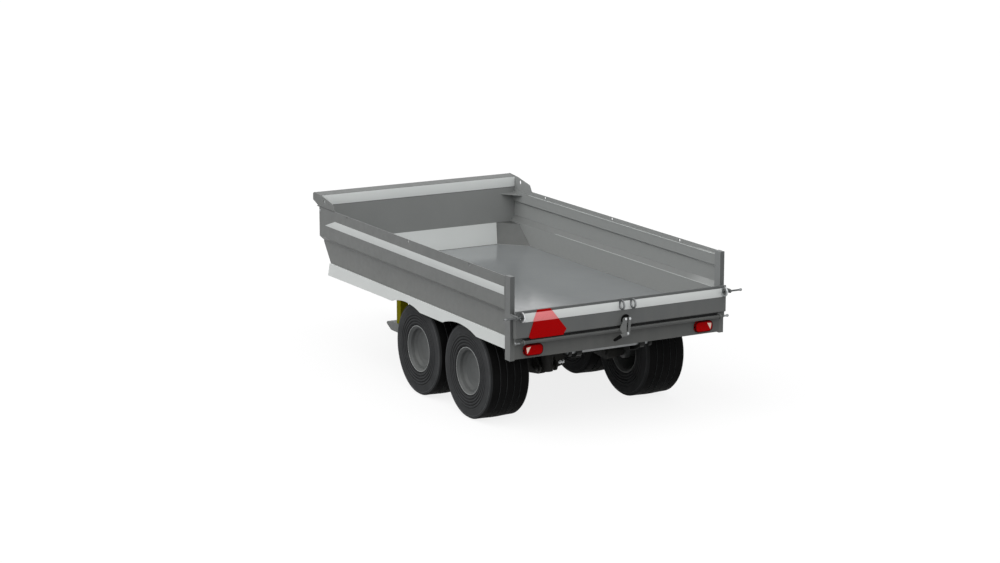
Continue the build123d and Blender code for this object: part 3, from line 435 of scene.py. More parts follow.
def paint(name, screen_hex, rough=(0.40, 0.52), mottle=0.04, dust=0.08, wave=0.12, peel=0.05, gloss=0.30,
          dust_z=(0.70, 1.25), inside_light_hex=None, ledge_shade_hex=None, rear_shade_hex=None):
    """Sprayed paint on sheet steel: soft mottling, fine orange peel, slight waves and dust low down, and
    painted light and shade by facing where inside, ledge or rear tones are given.
    """
    mat, tree, shader, coords = start_material(name, rough[0])
    shader.inputs["Specular IOR Level"].default_value = gloss
    cloud = noise(tree, coords, *PAINT_CLOUD)
    colour = ramp(tree, cloud, linear(screen_hex, 1 - mottle), linear(screen_hex, 1 + mottle))
    # Painted light and shade inside: inner faces lighter, upward inner folds in painted shade fading out near
    # the rear, downward faces under the top rail lighter near the rear
    if inside_light_hex:
        inward, upward, downward = inner_faces(tree, coords)
        colour = blend_colours(tree, inward, colour, linear(inside_light_hex))
        ledge_rear, ledge_front = REAR_X + LEDGE_SHADE_FADE[0], REAR_X + LEDGE_SHADE_FADE[1]
        shaded_ledge = times(tree, upward, axis_mask(tree, coords, "X", ledge_front, ledge_rear))
        colour = blend_colours(tree, shaded_ledge, colour, linear(ledge_shade_hex))
        lit_under_rail = times(tree, downward, axis_mask(tree, coords, "X", ledge_rear, ledge_front))
        colour = blend_colours(tree, lit_under_rail, colour, linear(inside_light_hex, UNDER_RAIL_LIGHT_GAIN))
    # Painted shade: faces that look to the rear are darker
    if rear_shade_hex:
        colour = blend_colours(tree, rear_faces(tree, coords), colour, linear(rear_shade_hex))
    if dust:
        streaks = noise(tree, coords, *DUST_STREAKS)
        low_down = axis_mask(tree, coords, "Z", dust_z[0], dust_z[1])
        dusty = times(tree, times(tree, low_down, spread(tree, streaks, 0.2, 1.0)), dust)
        colour = blend_colours(tree, dusty, colour, linear(DUST_HEX))
    tree.links.new(colour, shader.inputs["Base Color"])
    patches = noise(tree, coords, *PAINT_PATCHES)
    tree.links.new(spread(tree, patches, rough[0], rough[1]), shader.inputs["Roughness"])
    layers = [(noise(tree, coords, *PAINT_WAVE), WAVE_DEPTH, wave)]
    if peel:
        layers.append((noise(tree, coords, *PAINT_PEEL), PEEL_DEPTH, peel))
    bump(tree, shader, layers)
    return mat


def rubber(name, wall_hex, tread_hex, rings=False):
    """Rubber: side walls lighter than the darker tread, with moulded rings, fine grain and faint scuffs; with
    rings, painted shade in the grooves between them and a painted highlight on the shoulder line.
    """
    mat, tree, shader, coords = start_material(name, 0.7)
    facing = tree.nodes.new("ShaderNodeSeparateXYZ")
    tree.links.new(coords.outputs["Normal"], facing.inputs["Vector"])
    sideways = compute(tree, "ABSOLUTE", facing.outputs["Y"])
    colour = ramp(tree, sideways, linear(tread_hex), linear(wall_hex), 0.35, 0.85)
    layers = [
        (noise(tree, coords, *RUBBER_LUMPS), *LUMP_BUMP),
        (noise(tree, coords, *RUBBER_GRAIN), *GRAIN_BUMP),
    ]
    if rings:
        wave, line = sidewall_rings(tree, coords)
        on_wall = compute(tree, "GREATER_THAN", sideways, SIDEWALL_FACING)
        # Painted shade in the grooves between the rings, and a painted highlight on the shoulder line
        groove = times(tree, on_wall, compute(tree, "SUBTRACT", wave, 1.0))
        colour = blend_colours(tree, times(tree, groove, -GROOVE_SHADE), colour, linear(tread_hex))
        shoulder_highlight = linear(wall_hex, SHOULDER_HIGHLIGHT_GAIN)
        colour = blend_colours(tree, times(tree, on_wall, line), colour, shoulder_highlight)
        layers.append((wave, *RING_BUMP))
    scuffs = ramp(tree, noise(tree, coords, *RUBBER_SCUFFS), (0.78, 0.78, 0.78, 1), (1, 1, 1, 1))
    whole = tree.nodes.new("ShaderNodeMix")
    whole.data_type = "RGBA"
    whole.blend_type = "MULTIPLY"
    whole.inputs["Factor"].default_value = 1.0
    tree.links.new(colour, whole.inputs["A"])
    tree.links.new(scuffs, whole.inputs["B"])
    tree.links.new(whole.outputs["Result"], shader.inputs["Base Color"])
    tree.links.new(spread(tree, noise(tree, coords, *RUBBER_PATCHES), 0.55, 0.75), shader.inputs["Roughness"])
    shader.inputs["Specular IOR Level"].default_value = 0.02
    bump(tree, shader, layers)
    return mat


def metal(name, screen_hex, rough):
    """Bare or plated steel with a fine drawn grain and patchy gloss."""
    mat, tree, shader, coords = start_material(name, rough[0], 1.0)
    cloud = noise(tree, coords, *METAL_CLOUD)
    colour = ramp(tree, cloud, linear(screen_hex, 0.82), linear(screen_hex, 1.08))
    tree.links.new(colour, shader.inputs["Base Color"])
    patches = noise(tree, coords, *METAL_PATCHES)
    tree.links.new(spread(tree, patches, rough[0], rough[1]), shader.inputs["Roughness"])
    bump(tree, shader, ((noise(tree, coords, *METAL_GRAIN), *METAL_BUMP),))
    return mat


def reflective_sheet(name, screen_hex):
    """Retro-reflective sheeting: small cells under a clear face."""
    mat, tree, shader, coords = start_material(name, 0.34)
    cells = tree.nodes.new("ShaderNodeTexVoronoi")
    cells.feature = "DISTANCE_TO_EDGE"
    cells.inputs["Scale"].default_value = CELL_SCALE
    tree.links.new(coords.outputs["Object"], cells.inputs["Vector"])
    edge = cells.outputs["Distance"]
    colour = ramp(tree, edge, linear(screen_hex, 0.86), linear(screen_hex, 1.05), 0.0, 0.10)
    tree.links.new(colour, shader.inputs["Base Color"])
    shader.inputs["Specular IOR Level"].default_value = 0.05
    bump(tree, shader, ((edge, *CELL_BUMP),))
    return mat


def lens(name, screen_hex):
    """Moulded lamp lens: clear coloured plastic with fine upright flutes."""
    mat, tree, shader, coords = start_material(name, 0.16)
    flutes = tree.nodes.new("ShaderNodeTexWave")
    flutes.bands_direction = "Y"
    flutes.inputs["Scale"].default_value = FLUTE_SCALE
    tree.links.new(coords.outputs["Object"], flutes.inputs["Vector"])
    colour = ramp(tree, flutes.outputs["Fac"], linear(screen_hex, 0.78), linear(screen_hex, 1.12), 0.1, 0.9)
    tree.links.new(colour, shader.inputs["Base Color"])
    shader.inputs["Specular IOR Level"].default_value = 0.02
    bump(tree, shader, ((flutes.outputs["Fac"], *FLUTE_BUMP),))
    return mat


MATERIALS = {
    # Painted light and shade on the walls: lighter inner faces, darker upward folds inside, lighter slope
    # under the top rail near the rear
    "wall": paint("wall_paint", "646665", inside_light_hex="888a89", ledge_shade_hex="6c6e6d"),
    "front": paint("front_paint", "767877"),
    # Painted shade: the corner facets at the front take a darker copy of the body paint, for the shade in the
    # corners
    "corner": paint("corner_shade_paint", "4a4c4b"),
    "gate": paint("gate_paint", "545656", wave=0.08),
    "beam": paint("beam_paint", "484a4a", wave=0.08),
    # Painted light and shade on the posts: lighter inner faces, lighter downward inner faces near the rear,
    # darker rear faces
    "post": paint(
        "post_paint", "626464", wave=0.08, inside_light_hex="7d7f7f", ledge_shade_hex="7d7f7f", rear_shade_hex="525454"
    ),
    "shaft": paint("shaft_paint", "3e4040", wave=0.0),
    "latch": paint("latch_paint", "5e6060", wave=0.0),
    "floor": paint(
        "floor_paint", "777a7b", rough=(0.09, 0.15), mottle=0.03, dust=0.0, wave=0.06, peel=0.0, gloss=0.6
    ),
    "pale": paint("pale_paint", "c8cbca", mottle=0.02, dust=0.03, wave=0.06),
    "band": paint("band_paint", "babdbc", mottle=0.02, dust=0.0, wave=0.06),
    # Painted highlight: pale paint on the beads along the folds inside the walls
    "fold": paint("fold_highlight_paint", "abaead", mottle=0.06, dust=0.0, wave=0.0),
    # Painted shade: the nose panel's pale paint is darker than the bands', for the shade deep in the box
    "nose": paint("nose_shaded_paint", "abaead", mottle=0.02, dust=0.0, wave=0.06),
    "black": paint(
        "chassis_paint", "191a1a", rough=(0.42, 0.6), mottle=0.12, dust=0.05, gloss=0.15, dust_z=(0.2, 0.75)
    ),
    "rim": paint(
        "rim_paint", "4d4f4f", rough=(0.38, 0.5), dust=0.05, dust_z=(0.2, 0.5), wave=0.03, gloss=0.2
    ),
    # Painted highlight: the rim's lip is the rim's paint made pale where its flange catches the light
    "rim_lip": paint("rim_highlight_paint", "8c8e8e", rough=(0.30, 0.42), dust=0.0, wave=0.0),
    "yellow": paint(
        "jack_paint", "757000", rough=(0.40, 0.55), mottle=0.06, dust=0.03, gloss=0.01, dust_z=(0.1, 0.6)
    ),
    "rubber": rubber("tyre_rubber", "3e3f40", "141414", rings=True),
    "dark_rubber": rubber("grip_rubber", "0c0c0c", "0c0c0c"),
    # Painted shade: the strip in the gap under the gate is dark to stand in for the gap's shade
    "seal": rubber("gap_shade_rubber", "2a2a2a", "2a2a2a"),
    "foot": paint(
        "foot_paint", "6e7070", rough=(0.45, 0.6), mottle=0.08, wave=0.0, gloss=0.2, dust_z=(0.0, 0.1)
    ),
    "zinc": metal("zinc_plate", "c4c6c7", (0.20, 0.36)),
    "steel": metal("bare_steel", "7d7f80", (0.32, 0.50)),
    "pin": metal("pin_steel", "5e6061", (0.32, 0.50)),
    "chrome": metal("rod_chrome", "e4e5e6", (0.05, 0.12)),
    "sign": reflective_sheet("sign_red", "9a0002"),
    "sign_light": reflective_sheet("sign_light_red", "dc7e80"),
    "lamp": lens("lamp_red", "a00406"),
    "lamp_dark": lens("lamp_dark_red", "480204"),
    "lamp_white": lens("lamp_white", "ecd2c4"),
}

NODE_LOOKS = {
    "wall": ("wall_left", "wall_right", "headboard", "gusset_left", "gusset_right"),
    "front": ("front_wall",),
    "corner": ("nose_corner_left", "nose_corner_right"),
    "gate": ("tailgate",),
    "beam": ("rear_beam",),
    "post": ("post_left", "post_right"),
    "shaft": ("gate_shaft",),
    "latch": ("gate_latch",),
    "floor": ("bed_floor",),
    "pale": ("skirt_left", "skirt_right"),
    "black": (
        "bed_underframe", "lift_socket", "lift_cradle", "lift_barrel",
        "chassis_frame", "drawbar", "jack_tube",
        "bogie_hanger_left", "bogie_hanger_right", "bogie_rocker_left", "bogie_rocker_right",
        "stub_rear_left", "stub_rear_right", "stub_front_left", "stub_front_right",
    ),
    "rim": ("rim_rear_left", "rim_rear_right", "rim_front_left", "rim_front_right"),
    "rubber": ("tyre_rear_left", "tyre_rear_right", "tyre_front_left", "tyre_front_right"),
    "yellow": ("jack_leg",),
    "steel": ("tow_eye", "tip_pin"),
    "foot": ("jack_foot",),
    "pin": ("gate_pin_left", "gate_pin_right"),
    "chrome": ("lift_stage", "lift_rod"),
    "sign": ("slow_sign",),
    "lamp": ("lamp_left", "lamp_right"),
}
for look, members in NODE_LOOKS.items():
    for member in members:
        slots = nodes[member].data.materials
        for i in range(len(slots)):
            slots[i] = MATERIALS[look]


def at(along, y, z):
    """A point given by its distance forward of the rear beam."""
    return Vector((REAR_X + along, y, z))


def finish_piece(name, bm, look, body, round_edges=0.0):
    """Close a bmesh into a piece that rides on a body."""
    bmesh.ops.remove_doubles(bm, verts=bm.verts, dist=SAME_POINT)
    bmesh.ops.recalc_face_normals(bm, faces=bm.faces)
    if round_edges:
        sharp = [e for e in bm.edges if len(e.link_faces) == 2 and e.calc_face_angle(0.0) > BEVEL_ANGLE]
        bmesh.ops.bevel(bm, geom=sharp, offset=round_edges, segments=2, profile=0.6, affect="EDGES")
    mesh = bpy.data.meshes.new(name)
    bm.to_mesh(mesh)
    bm.free()
    for face in mesh.polygons:
        face.use_smooth = True
    mesh.set_sharp_from_angle(angle=SHARP_ANGLE)
    mesh.materials.append(MATERIALS[look])
    piece = bpy.data.objects.new(name, mesh)
    bpy.context.scene.collection.objects.link(piece)
    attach(piece, body)
    return piece


def add_plate(bm, outline, push):
    """A thin closed plate: a flat outline and the vector it is thickened by."""
    low = [bm.verts.new(p) for p in outline]
    high = [bm.verts.new(Vector(p) + push) for p in outline]
    bm.faces.new(low[::-1])
    bm.faces.new(high)
    for i in range(len(low)):
        j = (i + 1) % len(low)
        bm.faces.new((low[i], low[j], high[j], high[i]))


def add_lathe(bm, profile, centre, axis, segments):
    """A turned form: radius and distance along the axis; ends on the axis close to a point."""
    turn = Vector((0, 0, 1)).rotation_difference(Vector(axis)).to_matrix()
    rings = []
    for radius, along in profile:
        if radius < SAME_POINT:
            rings.append([bm.verts.new(Vector(centre) + turn @ Vector((0, 0, along)))])
            continue
        ring = []
        for k in range(segments):
            angle = math.tau * k / segments
            point = Vector((radius * math.cos(angle), radius * math.sin(angle), along))
            ring.append(bm.verts.new(Vector(centre) + turn @ point))
        rings.append(ring)
    for first, second in zip(rings, rings[1:]):
        for k in range(segments):
            m = (k + 1) % segments
            if len(first) == 1:
                bm.faces.new((first[0], second[k], second[m]))
            elif len(second) == 1:
                bm.faces.new((first[k], second[0], first[m]))
            else:
                bm.faces.new((first[k], second[k], second[m], first[m]))


def bead_profile(bead):
    """The closed half-round section of a bead on a surface that looks tilted from the axis."""
    lean, upright = math.sin(bead.tilt), math.cos(bead.tilt)
    points = []
    for k in range(BEAD_STEPS + 1):
        angle = math.pi * k / BEAD_STEPS
        side = bead.width / 2 * math.cos(angle)
        rise = bead.height * math.sin(angle) - BEAD_SINK
        points.append((bead.radius + upright * side + lean * rise, bead.out - lean * side + upright * rise))
    return points + [points[0]]


def add_bolt(bm, centre, axis, size):
    """A hexagon head on a washer, standing on centre."""
    for shares, segments in ((BOLT_WASHER, WASHER_SEGMENTS), (BOLT_HEAD, HEXAGON)):
        profile = [(radius * size, along * size) for radius, along in shares]
        add_lathe(bm, profile, centre, axis, segments)


def add_weld(bm, start, end, radius):
    """A rippled weld bead along a straight seam."""
    start, end = Vector(start), Vector(end)
    length = (end - start).length
    steps = max(6, int(length / WELD_PITCH))
    profile = [(0.0, 0.0)]
    for k in range(steps + 1):
        swell = 1.0
        for height, pace in WELD_RIPPLES:
            swell += height * math.sin(k * pace)
        profile.append((radius * swell, length * k / steps))
    profile.append((0.0, length))
    add_lathe(bm, profile, start, (end - start).normalized(), WELD_SEGMENTS)


def cross_rectangle(x, y_ends, z_ends):
    """Corners of an upright rectangle across the trailer, from its right and left and low and high ends."""
    right, left = y_ends
    low, high = z_ends
    return [Vector((x, y, z)) for y, z in ((left, low), (left, high), (right, high), (right, low))]


def make_side_bands():
    """Pale bands along the outside of the side walls."""
    low, high = SIDE_BAND_Z
    for side, sign in SIDES:
        bm = bmesh.new()
        y = sign * WALL_Y
        outline = [
            at(SIDE_BAND_REAR, y, low),
            at(SIDE_BAND_TIP, y, low),
            at(SIDE_BAND_TIP - SIDE_BAND_SLANT, y, high),
            at(SIDE_BAND_REAR, y, high),
        ]
        add_plate(bm, outline, Vector((0, sign * BAND_T, 0)))
        finish_piece("side_band_" + side, bm, "band", "bed", BAND_ROUND)


def make_cross_bands():
    """Pale bands across the gate and the spill rail."""
    half = WALL_Y - SPILL_BAND_IN
    for name, x, y_ends, z_ends, body in (
        ("gate_band", GATE_X, GATE_BAND_Y, GATE_BAND_Z, "tailgate"),
        ("spill_band", SPILL_X, (-half, half), SPILL_BAND_Z, "bed"),
    ):
        bm = bmesh.new()
        add_plate(bm, cross_rectangle(x, y_ends, z_ends), Vector((-BAND_T, 0, 0)))
        finish_piece(name, bm, "pale", body, BAND_ROUND)


def make_nose_panel():
    """Pale panel on the slope at the front of the floor."""
    bm = bmesh.new()
    foot_x, top_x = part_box("bed_floor")[1].x, SPILL_X
    foot_z, top_z = FLOOR_Z, NOSE_TOP_Z
    foot_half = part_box("bed_floor")[1].y - FACET_WIDE
    outline = [
        Vector((foot_x, foot_half, foot_z)),
        Vector((top_x, NOSE_HALF_TOP, top_z)),
        Vector((top_x, -NOSE_HALF_TOP, top_z)),
        Vector((foot_x, -foot_half, foot_z)),
    ]
    inward = Vector((-(top_z - foot_z), 0, top_x - foot_x)).normalized()
    add_plate(bm, outline, inward * BAND_T)
    finish_piece("nose_panel", bm, "nose", "bed", BAND_ROUND)


def make_fold_highlights():
    """Painted highlights along the folds inside the walls: thin pale beads that thin out at their ends."""
    for side, sign in SIDES:
        bm = bmesh.new()
        for inward, z, rear, front in FOLD_HIGHLIGHTS:
            length = front - rear
            profile = [
                (0.0, 0.0),
                (FOLD_HIGHLIGHT_R, FOLD_HIGHLIGHT_TAPER),
                (FOLD_HIGHLIGHT_R, length / 2),
                (FOLD_HIGHLIGHT_R, length - FOLD_HIGHLIGHT_TAPER),
                (0.0, length),
            ]
            add_lathe(bm, profile, at(rear, sign * (WALL_Y - inward), z), (1, 0, 0), FOLD_SEGMENTS)
        finish_piece("fold_highlights_" + side, bm, "fold", "bed")


def make_sign():
    """Lighter part of the slow-vehicle sign, where it lies over the band."""
    low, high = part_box("slow_sign")
    middle = (low.y + high.y) / 2 + SIGN_SHIFT
    bottom, top = GATE_BAND_Z
    outline = [
        (middle + SIGN_BOTTOM_Y[0], bottom),
        (middle + SIGN_TOP_Y[0], top),
        (middle + SIGN_TOP_Y[1], top),
        (middle + SIGN_BOTTOM_Y[1], bottom),
    ]
    bm = bmesh.new()
    add_plate(bm, [Vector((SIGN_X, y, z)) for y, z in outline], Vector((-SIGN_FACE_T, 0, 0)))
    finish_piece("sign_face", bm, "sign_light", "tailgate", SIGN_ROUND)


def rounded_rectangle(width, height, radius, steps=8):
    """Points of a rectangle with round corners, in its own plane."""
    points = []
    for corner, (cx, cy) in enumerate(((1, 1), (-1, 1), (-1, -1), (1, -1))):
        for k in range(steps + 1):
            angle = math.pi / 2 * (corner + k / steps)
            points.append((
                cx * (width / 2 - radius) + radius * math.cos(angle),
                cy * (height / 2 - radius) + radius * math.sin(angle),
            ))
    return points


def make_lamps():
    """Dark bezel round each rear lamp and its pale triangle at the outer end."""
    for side, sign in SIDES:
        low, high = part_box("lamp_" + side)
        centre_y, centre_z = (low.y + high.y) / 2, (low.z + high.z) / 2
        width, height = high.y - low.y, high.z - low.z
        bm = bmesh.new()
        rings = []
        for inset, forward in ((0.0, high.x - low.x),) + LAMP_STEPS:
            shape = rounded_rectangle(width - 2 * inset, height - 2 * inset, height * LAMP_ROUND - inset)
            rings.append([bm.verts.new((low.x + forward, centre_y + u, centre_z + v)) for u, v in shape])
        for first, second in zip(rings, rings[1:] + rings[:1]):
            for k in range(len(first)):
                m = (k + 1) % len(first)
                bm.faces.new((first[k], second[k], second[m], first[m]))
        finish_piece("lamp_bezel_" + side, bm, "lamp_dark", "bed")
        bm = bmesh.new()
        outline = []
        for share, rise in (TRIANGLE_OUTER, TRIANGLE_INNER, TRIANGLE_TIP)[::sign]:
            outline.append(Vector((low.x, centre_y + sign * width * share, centre_z + rise)))
        add_plate(bm, outline, Vector((-TRIANGLE_T, 0, 0)))
        finish_piece("lamp_triangle_" + side, bm, "lamp_white", "bed", BAND_ROUND)


def make_tyre_rings():
    """Raised rings on the tyre walls and a pale bead on the lip of each rim, a painted highlight."""
    for axle in AXLES:
        for side, sign in SIDES:
            low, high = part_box("tyre_%s_%s" % (axle, side))
            centre = (low + high) / 2
            body = "wheel_%s_%s" % (axle, side)
            bm = bmesh.new()
            for way in (1, -1):
                for bead in TYRE_BEADS:
                    add_lathe(bm, bead_profile(bead), centre, (0, way, 0), WHEEL_SEGMENTS)
            finish_piece("tyre_rings_%s_%s" % (axle, side), bm, "rubber", body)
            # The rim's lip bead is pale, a painted highlight
            bm = bmesh.new()
            add_lathe(bm, bead_profile(RIM_HIGHLIGHT), centre, (0, sign, 0), WHEEL_SEGMENTS)
            finish_piece("rim_lip_%s_%s" % (axle, side), bm, "rim_lip", body)


def make_gate_hardware():
    """Rings and loops on the gate, and the ends of its pins and its shaft."""
    pin_low, pin_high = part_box("gate_pin_left")
    hinge_x, hinge_z = (pin_low.x + pin_high.x) / 2, (pin_low.z + pin_high.z) / 2
    shaft_low, shaft_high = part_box("gate_shaft")
    shaft_x, shaft_z = (shaft_low.x + shaft_high.x) / 2, (shaft_low.z + shaft_high.z) / 2
    half = RING_T / 2
    ring = [(RING_BORE_R, -half), (RING_R, -half), (RING_R, half), (RING_BORE_R, half), (RING_BORE_R, -half)]
    for name, places, look in (("gate_rings", RINGS_Y, "zinc"), ("gate_loops", LOOPS_Y, "steel")):
        bm = bmesh.new()
        for y in places:
            add_lathe(bm, ring, (hinge_x, y, hinge_z), (0, 1, 0), RING_SEGMENTS)
        finish_piece(name, bm, look, "tailgate", RING_ROUND)
    for side, sign in SIDES:
        inward = (0, -sign, 0)
        bm = bmesh.new()
        add_lathe(bm, KNOB + KNOB_NECK, (hinge_x, sign * pin_high.y, hinge_z), inward, SMALL_SEGMENTS)
        finish_piece("pin_knob_" + side, bm, "steel", "bed")
        bm = bmesh.new()
        add_lathe(bm, SPIGOT + SPIGOT_STEM, (shaft_x, sign * shaft_high.y, shaft_z), inward, SMALL_SEGMENTS)
        finish_piece("shaft_end_" + side, bm, "steel", "tailgate")


def make_gap_shade():
    """Stepped rubber strip in the gap under the gate, dark as painted shade for the gap."""
    bm = bmesh.new()
    for low_z, high_z, thick in GAP_SHADE_STRIPS:
        corners = cross_rectangle(GATE_X + LIP_IN, (-GAP_SHADE_HALF, GAP_SHADE_HALF), (low_z, high_z))
        add_plate(bm, corners, Vector((-thick, 0, 0)))
    finish_piece("gate_gap_shade", bm, "seal", "tailgate")


def make_latch():
    """The latch's washer, its studs and nut, and the grip on its handle."""
    shaft_low, shaft_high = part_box("gate_shaft")
    shaft_z = (shaft_low.z + shaft_high.z) / 2
    latch_low, latch_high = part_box("gate_latch")
    face_x = latch_low.x + HANDLE_T
    prong_z = latch_high.z - PRONG_R
    rearward = (-1, 0, 0)
    bm = bmesh.new()
    add_lathe(bm, WASHER, (GATE_X, WASHER_Y, shaft_z + WASHER_RISE), rearward, RING_SEGMENTS)
    finish_piece("latch_washer", bm, "dark_rubber", "tailgate", WASHER_ROUND)
    bm = bmesh.new()
    for y in PRONGS_Y:
        add_lathe(bm, STUD, (face_x, y, prong_z), rearward, SMALL_SEGMENTS)
    add_bolt(bm, Vector((face_x, NUT_Y, shaft_z - NUT_DROP)), rearward, NUT_SIZE)
    finish_piece("latch_bolt", bm, "zinc", "tailgate")
    bm = bmesh.new()
    grip_x = latch_low.x + HANDLE_T / 2
    start = Vector((grip_x, GRIP_START[0], shaft_z + GRIP_START[1]))
    end = Vector((grip_x, GRIP_END[0], shaft_z + GRIP_END[1]))
    add_lathe(bm, GRIP + GRIP_TIP, start, (end - start).normalized(), SMALL_SEGMENTS)
    finish_piece("latch_grip", bm, "dark_rubber", "tailgate")


def make_bed_welds():
    """Weld beads where the posts, walls, floor, nose and gussets meet; those under the gussets are dark, as
    painted shadow.
    """
    bm = bmesh.new()
    floor_low, floor_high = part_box("bed_floor")
    inner_y = floor_high.y
    facet_x, facet_y = floor_high.x - FACET_LONG, inner_y - FACET_WIDE
    post_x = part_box("post_left")[1].x
    for sign in (1, -1):
        side_y = sign * inner_y
        rear_x = floor_low.x + FLOOR_WELD_START
        add_weld(bm, (rear_x, side_y, FLOOR_Z), (facet_x, side_y, FLOOR_Z), FLOOR_WELD_R)
        add_weld(bm, (facet_x, side_y, FLOOR_Z), (floor_high.x, sign * facet_y, FLOOR_Z), NOSE_WELD_R)
        seam_y = sign * (WALL_Y - SEAM_SINK)
        add_weld(bm, (post_x, seam_y, POST_WELD_Z), (post_x, seam_y, WALL_TOP_Z), POST_WELD_R)
    add_weld(bm, (floor_high.x, -facet_y, FLOOR_Z), (floor_high.x, facet_y, FLOOR_Z), NOSE_WELD_R)
    finish_piece("bed_welds", bm, "wall", "bed")
    # The welds under the gussets take the dark shaft paint as painted shadow under the gussets' lower edges
    bm = bmesh.new()
    gusset_low, gusset_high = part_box("gusset_left")
    for sign in (1, -1):
        seam_y = sign * (WALL_Y - SEAM_SINK)
        front_x = gusset_high.x - GUSSET_WELD_SHORT
        add_weld(bm, (gusset_low.x, seam_y, WALL_TOP_Z), (front_x, seam_y, WALL_TOP_Z), GUSSET_WELD_R)
    finish_piece("gusset_shadow_welds", bm, "shaft", "bed")


def make_chassis_welds():
    """Weld beads on the tow eye's plate, the hangers and the stub axles."""
    bm = bmesh.new()
    bar_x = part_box("drawbar")[1].x
    eye_low, eye_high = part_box("tow_eye")
    low_z, high_z = eye_low.z + EYE_WELD_IN, eye_high.z - EYE_WELD_IN
    for y in (-EYE_WELD_Y, EYE_WELD_Y):
        add_weld(bm, (bar_x, y, low_z), (bar_x, y, high_z), EYE_WELD_R)
    for side, sign in SIDES:
        low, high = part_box("bogie_hanger_" + side)
        y = sign * HANGER_WELD_Y
        rear_x, front_x = low.x + HANGER_WELD_IN, high.x - HANGER_WELD_IN
        add_weld(bm, (rear_x, y, high.z), (front_x, y, high.z), HANGER_WELD_R)
        for axle in AXLES:
            stub_low, stub_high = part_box("stub_%s_%s" % (axle, side))
            mid = (stub_low + stub_high) / 2
            rocker_low, rocker_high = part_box("bogie_rocker_" + side)
            face_y = rocker_high.y if sign > 0 else rocker_low.y
            add_lathe(bm, bead_profile(STUB_WELD), (mid.x, face_y, mid.z), (0, sign, 0), RING_SEGMENTS)
    finish_piece("chassis_welds", bm, "black", "chassis")


def make_fasteners():
    """Bolts on the yoke of the drawbar, the tow eye's plate, the cradle and the front ends of the walls."""
    bm = bmesh.new()
    plate_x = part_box("drawbar")[1].x + EYE_PLATE_T
    for y in EYE_BOLTS_Y:
        for z in EYE_BOLTS_Z:
            add_bolt(bm, Vector((plate_x, y, z)), (1, 0, 0), LARGE_BOLT)
    yoke_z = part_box("drawbar")[1].z - YOKE_DROP
    for y in YOKE_BOLTS_Y:
        for along in YOKE_BOLTS_ALONG:
            add_bolt(bm, at(along, y, yoke_z), (0, 0, -1), LARGE_BOLT)
    for y in CRADLE_BOLTS_Y:
        add_bolt(bm, at(CRADLE_ALONG, y, CRADLE_BOLTS_Z), (-1, 0, 0), CRADLE_BOLT)
    for sign in (1, -1):
        add_lathe(bm, CAP, at(CAP_ALONG, sign * CAP_Y, CAP_Z), (0, sign, 0), SMALL_SEGMENTS)
    finish_piece("chassis_bolts", bm, "black", "chassis")
    bm = bmesh.new()
    for y in LOW_BOLTS_Y:
        add_bolt(bm, at(CRADLE_ALONG, y, CAP_Z), (-1, 0, 0), CRADLE_BOLT)
    finish_piece("cradle_bolts", bm, "zinc", "chassis")
    bm = bmesh.new()
    for sign in (1, -1):
        add_bolt(bm, at(WALL_BOLT_ALONG, sign * WALL_Y, WALL_BOLT_Z), (0, sign, 0), WALL_BOLT)
    finish_piece("wall_bolts", bm, "zinc", "bed")


def soften_edges():
    """A fine round on the sheet and box-section edges of the solids, so that they catch the light."""
    rounded = ("drawbar", "jack_tube", "jack_leg", "jack_foot", "bed_underframe")
    for look in ("wall", "front", "corner", "gate", "beam", "post", "pale"):
        rounded = rounded + NODE_LOOKS[look]
    for name in rounded:
        weld = nodes[name].modifiers.new("join", "WELD")
        weld.merge_threshold = EDGE_JOIN
        round_edge = nodes[name].modifiers.new("edge", "BEVEL")
        round_edge.width = EDGE_ROUND
        round_edge.segments = 2
        round_edge.limit_method = "ANGLE"
        round_edge.angle_limit = EDGE_ANGLE


def seen_rays(tree):
    """One for rays that come straight from the camera, or by a mirror or through glass."""
    path = tree.nodes.new("ShaderNodeLightPath")
    value = path.outputs["Is Camera Ray"]
    for kind in ("Is Glossy Ray", "Is Transmission Ray"):
        either = tree.nodes.new("ShaderNodeMath")
        either.operation = "MAXIMUM"
        tree.links.new(value, either.inputs[0])
        tree.links.new(path.outputs[kind], either.inputs[1])
        value = either.outputs["Value"]
    return value


def make_studio_floor():
    """Pale floor that takes the shadow and glows a little where it is seen."""
    bm = bmesh.new()
    bmesh.ops.create_grid(bm, x_segments=1, y_segments=1, size=STAGE_HALF)
    mesh = bpy.data.meshes.new("studio_floor")
    bm.to_mesh(mesh)
    bm.free()
    floor = bpy.data.objects.new("studio_floor", mesh)
    bpy.context.scene.collection.objects.link(floor)
    mat = bpy.data.materials.new("studio_floor")
    mat.use_nodes = True
    tree = mat.node_tree
    tree.nodes.clear()
    out = tree.nodes.new("ShaderNodeOutputMaterial")
    matt = tree.nodes.new("ShaderNodeBsdfDiffuse")
    matt.inputs["Color"].default_value = (STAGE_GREY, STAGE_GREY, STAGE_GREY, 1)
    glow = tree.nodes.new("ShaderNodeEmission")
    glow.inputs["Strength"].default_value = STAGE_GLOW
    mix = tree.nodes.new("ShaderNodeMixShader")
    share = tree.nodes.new("ShaderNodeMath")
    share.operation = "MULTIPLY"
    share.inputs[1].default_value = STAGE_SHARE
    tree.links.new(seen_rays(tree), share.inputs[0])
    tree.links.new(share.outputs["Value"], mix.inputs["Fac"])
    tree.links.new(matt.outputs["BSDF"], mix.inputs[1])
    tree.links.new(glow.outputs["Emission"], mix.inputs[2])
    tree.links.new(mix.outputs["Shader"], out.inputs["Surface"])
    mesh.materials.append(mat)


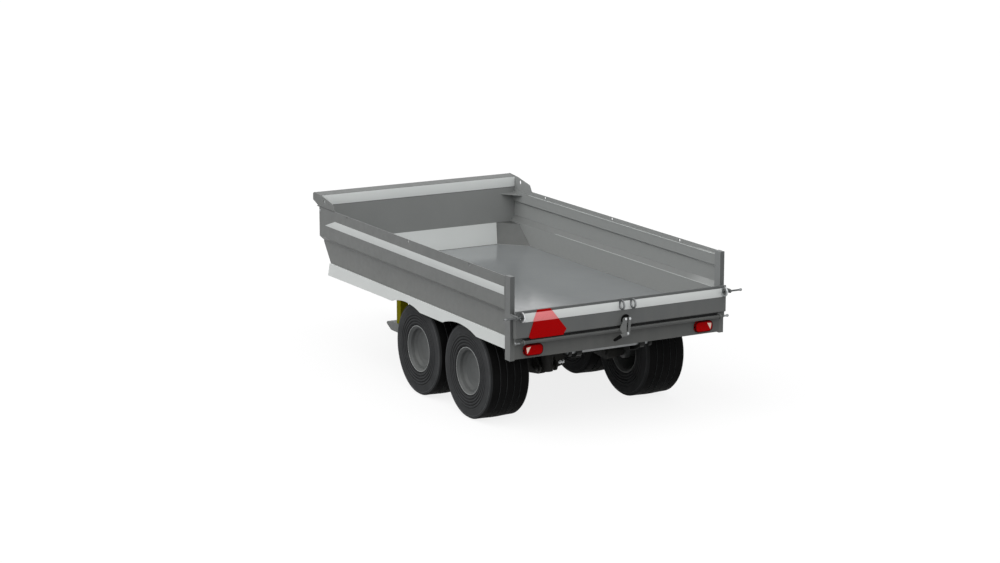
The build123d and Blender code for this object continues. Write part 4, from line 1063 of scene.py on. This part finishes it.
def make_world():
    """White surroundings, dimmer as a light than as they are seen."""
    world = bpy.data.worlds.new("studio")
    bpy.context.scene.world = world
    world.use_nodes = True
    tree = world.node_tree
    tree.nodes.clear()
    out = tree.nodes.new("ShaderNodeOutputWorld")
    seen = tree.nodes.new("ShaderNodeBackground")
    light = tree.nodes.new("ShaderNodeBackground")
    light.inputs["Strength"].default_value = WORLD_LIGHT
    mix = tree.nodes.new("ShaderNodeMixShader")
    tree.links.new(seen_rays(tree), mix.inputs["Fac"])
    tree.links.new(light.outputs["Background"], mix.inputs[1])
    tree.links.new(seen.outputs["Background"], mix.inputs[2])
    tree.links.new(mix.outputs["Shader"], out.inputs["Surface"])
    seen.inputs["Color"].default_value = (1, 1, 1, 1)
    light.inputs["Color"].default_value = (1, 1, 1, 1)


def make_suns():
    """Wide, soft suns."""
    for name, strength, angle, towards in SUNS:
        sun = bpy.data.lights.new(name, "SUN")
        sun.energy = strength
        sun.angle = math.radians(angle)
        lamp = bpy.data.objects.new(name, sun)
        lamp.rotation_euler = Vector(towards).to_track_quat("Z", "Y").to_euler()
        bpy.context.scene.collection.objects.link(lamp)


def make_camera():
    """The photograph's camera, with colours shown as they are."""
    scene = bpy.context.scene
    scene.view_settings.view_transform = "Standard"
    data = bpy.data.cameras.new("photo_camera")
    data.sensor_fit = "HORIZONTAL"
    data.sensor_width = SENSOR_MM
    data.lens = CAMERA_LENS_MM
    data.clip_end = CAMERA_FAR
    camera = bpy.data.objects.new("photo_camera", data)
    flat = math.cos(CAMERA_PITCH)
    ahead = Vector((flat * math.cos(CAMERA_YAW), flat * math.sin(CAMERA_YAW), math.sin(CAMERA_PITCH)))
    camera.location = CAMERA_AT
    camera.rotation_euler = ahead.to_track_quat("-Z", "Y").to_euler()
    scene.collection.objects.link(camera)
    scene.camera = camera


make_side_bands()
make_cross_bands()
make_nose_panel()
make_fold_highlights()
make_sign()
make_lamps()
make_tyre_rings()
make_gate_hardware()
make_gap_shade()
make_latch()
make_bed_welds()
make_chassis_welds()
make_fasteners()
soften_edges()
make_studio_floor()
make_world()
make_suns()
make_camera()
